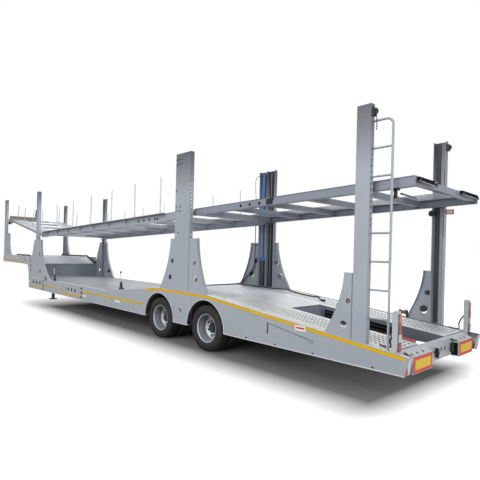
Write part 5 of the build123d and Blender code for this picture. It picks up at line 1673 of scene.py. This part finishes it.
# columns: station, base height, lean forward of the rod's top
LEVERS = [(11.12, WELL_TOP, 0.05), (6.86, top_of(6.86) - 0.004, 0.03)]
LEVER_CHEEK = [(-0.055, 0.04), (0.065, 0.04), (0.045, 0.17), (-0.005, 0.20)]
levers, rods = [], []
for s, base, lean in LEVERS:
    foot, tip = X(s) + 0.01, X(s) + 0.01 + lean
    levers.append(boxes((X(s) - 0.075, 1.160, base), (X(s) + 0.075, 1.205, base + 0.045)))
    levers.append(slab(np.add(LEVER_CHEEK, (X(s), base)), 1, 1.172, 1.198))
    levers.append(studs([(foot, 1.160, base + 0.11)], 1, 0.022, 0.050, sides=12))
    rod = np.linspace((foot, 1.185, base + 0.12), (tip, 1.185, base + 0.40), 6)
    rods.append(tube(rod, 0.011, 10))
    levers.append(studs([(tip, 1.185, base + 0.395)], 2, 0.020, 0.05, sides=14))
make_piece("floor_levers", levers, "black_steel")
make_piece("lever_rods", rods, "zinc")

latch = []
for s, z, reach in ((11.605, 0.800, 0.045), (11.720, 0.845, 0.050)):
    rim = reach * 0.7
    drum = [(-0.024, 0), (-0.024, rim), (0, reach), (0.024, rim), (0.024, 0)]
    latch.append(lathe(drum, (X(s), 1.262, z), 1, 20))
latch.append(boxes((X(11.56), 1.243, 0.752), (X(11.78), 1.2755, 0.800)))
make_piece("floor_latch", latch, "black_steel")
print(len(slots), "slots and", len(LEVERS), "levers")

# %% Bulkhead seams and neck fittings
RAMP_FOOT = X(BODY_END - 0.04)
NECK_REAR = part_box("neck_deck")[0].x
seams = [
    boxes((RAMP_FOOT - 0.006, y - 0.003, 0.79), (RAMP_FOOT + 0.002, y + 0.003, 1.235))
    for y in np.arange(-1.0, 1.01, 0.4)
]
make_piece("bulkhead_seams", seams, "paint")
# the lid's paler paint is painted light on its upward face
lid = [
    (RAMP_FOOT - 0.02, 1.243), (RAMP_FOOT, 1.256), (NECK_REAR, NECK_TOP + 0.003),
    (NECK_REAR, NECK_TOP - 0.004), (RAMP_FOOT, 1.246),
]
make_piece("bulkhead_lid", [slab(lid, 1, -1.212, 1.212)], "paint_light")
bar = np.linspace((X(14.05), 1.02, 1.530), (X(15.60), 1.02, 1.530), 8)
neck = [tube(bar, 0.024, 12)]
neck += [boxes((X(s) - 0.02, 0.99, 1.499), (X(s) + 0.02, 1.05, 1.515)) for s in (14.2, 14.8, 15.4)]
make_piece("neck_pipe", neck, "chassis")
couplings = [(X(16.571), y, 1.37) for y in (-0.35, -0.25, -0.15, 0.25, 0.35)]
make_piece("front_couplings", [studs(couplings, 0, 0.020, 0.012, sides=12)], "black_steel")
print("neck, bulkhead and well floor fitted")

# %% [markdown]
# ## Front platform fittings
# A worn board stands across the left half of the platform's front edge, and a dark post with a foot
# plate stands beside its inner end. The side webs' lips have a dark strip of painted shade. Two dark
# boxes in a row hang under each side of the platform near its front, as brackets for the lifting gear.

# %% Platform fittings
def platform_u(station):
    """Distance along the platform of a station."""
    return (station - PLATFORM_PIN[0]) / math.cos(PLATFORM_PITCH)


FRONT_U = platform_u(16.50)
board = deck_strip((FRONT_U - 0.10, FRONT_U - 0.062), (0.05, 1.105), (0.0, 0.135), on_platform)
make_piece("platform_board", [board], "board_brown", "front_platform")
foot = [
    deck_strip((FRONT_U - 0.055, FRONT_U + 0.01), (0.02, 0.10), (0.002, 0.012), on_platform),
    deck_strip((FRONT_U - 0.045, FRONT_U - 0.010), (0.040, 0.080), (0.010, 0.47), on_platform),
    deck_strip((FRONT_U - 0.055, FRONT_U), (0.030, 0.090), (0.20, 0.24), on_platform),
]
make_piece("platform_stop", foot, "black_steel", "front_platform")
# a dark strip along each side web: painted shade of the lip
v_range = (WEB_OUT - 0.02, WEB_OUT + 0.004)
lip = deck_strip((0.02, FRONT_U), v_range, (-0.061, -0.045), on_platform)
make_piece("platform_lips", both_sides(lip), "paint_dark", "front_platform")
hinge = []
for side in SIDES:
    ys = spread(side, 1.13, 1.18)
    hinge.append(deck_strip((FRONT_U - 0.34, FRONT_U - 0.20), ys, (-0.19, -0.065), on_platform))
    hinge.append(deck_strip((FRONT_U - 0.60, FRONT_U - 0.34), ys, (-0.12, -0.065), on_platform))
make_piece("platform_brackets", hinge, "black_steel", "front_platform")
print("platform fittings placed")

# %% [markdown]
# ## Floor, light and background
# A pale grey floor under a white background keeps a soft shadow near the trailer. Away from the
# trailer the floor glows up to plain white. The sky lights everything a little, as a big softbox
# would, and three wide lamps add direction. The glow and the full white of the background are for
# camera, mirror and glass rays only, so they add no light of their own to the trailer.

# %% Floor
FLOOR_SIZE = 90
# columns: axis, sign, where the glow starts, the width over which it rises
GLOW_EDGES = [
    ("X", -1, -X(0.42), 0.5), ("X", 1, X(10.8), 2.7),
    ("Y", -1, 1.3, 1.05), ("Y", 1, 1.3, 1.05),
]


def looked_at(tree):
    """1 for rays from the camera, off a mirror or through glass, else 0."""
    ray = add_node(tree, "LightPath").outputs
    direct = calculate(tree, "MAXIMUM", ray["Is Camera Ray"], ray["Is Glossy Ray"])
    return calculate(tree, "MAXIMUM", direct, ray["Is Transmission Ray"])


def white_floor():
    """Pale grey; a glow for looking rays rises with the distance from the trailer."""
    material, tree, shader = new_material("floor_white")
    cloud = mix_colour(tree, noise(tree, 0.6, 2), (0.29, 0.29, 0.29, 1), (0.31, 0.31, 0.31, 1))
    tree.links.new(cloud, shader.inputs["Base Color"])
    shader.inputs["Roughness"].default_value = 0.9
    shader.inputs["Specular IOR Level"].default_value = 0.0
    place = place_of(tree)
    squares = 0.0
    for axis, sign, start, width in GLOW_EDGES:
        distance = calculate(tree, "MULTIPLY", part_of(tree, place, axis), sign)
        away = ramp(tree, distance, start, start + width)
        squares = calculate(tree, "ADD", squares, calculate(tree, "POWER", away, 2.0))
    rise = calculate(tree, "SQRT", squares, clamp=True)
    seen = calculate(tree, "MULTIPLY", rise, looked_at(tree))
    glow = add_node(tree, "Emission", {"Color": (1, 1, 1, 1), "Strength": seen})
    total = add_node(tree, "AddShader", {0: shader.outputs[0], 1: glow.outputs[0]})
    tree.links.new(total.outputs[0], tree.nodes["Material Output"].inputs["Surface"])
    return material


floor_mesh = bpy.data.meshes.new("floor")
corners = [(x * FLOOR_SIZE, y * FLOOR_SIZE, 0) for x, y in ((-1, -1), (1, -1), (1, 1), (-1, 1))]
floor_mesh.from_pydata(corners, [], [(0, 1, 2, 3)])
floor_mesh.materials.append(white_floor())
floor = bpy.data.objects.new("floor", floor_mesh)
scene.collection.objects.link(floor)
print("floor laid")

# %% World and lamps
SKY_STRENGTH = 0.28


def studio_world():
    """White at strength 1 where the camera, a mirror or glass sees it; dimmer as a light."""
    world = bpy.data.worlds.new("studio")
    scene.world = world
    world.use_nodes = True
    tree = world.node_tree
    extra = calculate(tree, "MULTIPLY", looked_at(tree), 1 - SKY_STRENGTH)
    strength = calculate(tree, "ADD", SKY_STRENGTH, extra)
    tree.links.new(strength, tree.nodes["Background"].inputs["Strength"])
    tree.nodes["Background"].inputs["Color"].default_value = (1, 1, 1, 1)


def softbox(name, place, target, size, power):
    """A square lamp that faces its target; its power spreads over its area."""
    lamp = bpy.data.objects.new(name, bpy.data.lights.new(name, "AREA"))
    scene.collection.objects.link(lamp)
    lamp.data.size, lamp.data.energy = size, power
    lamp.location = place
    lamp.rotation_euler = (Vector(target) - Vector(place)).to_track_quat("-Z", "Y").to_euler()


studio_world()
softbox("left_softbox", (X(2), 15, 7), (X(6), 0, 1), 14, 1700)
softbox("rear_softbox", (X(-11), 2, 5), (X(2), 0, 1), 7, 700)
softbox("overhead_softbox", (X(8), -4, 13), (X(8), 0, 1), 13, 2350)
scene.view_settings.view_transform = "Standard"
print("lamps lit")
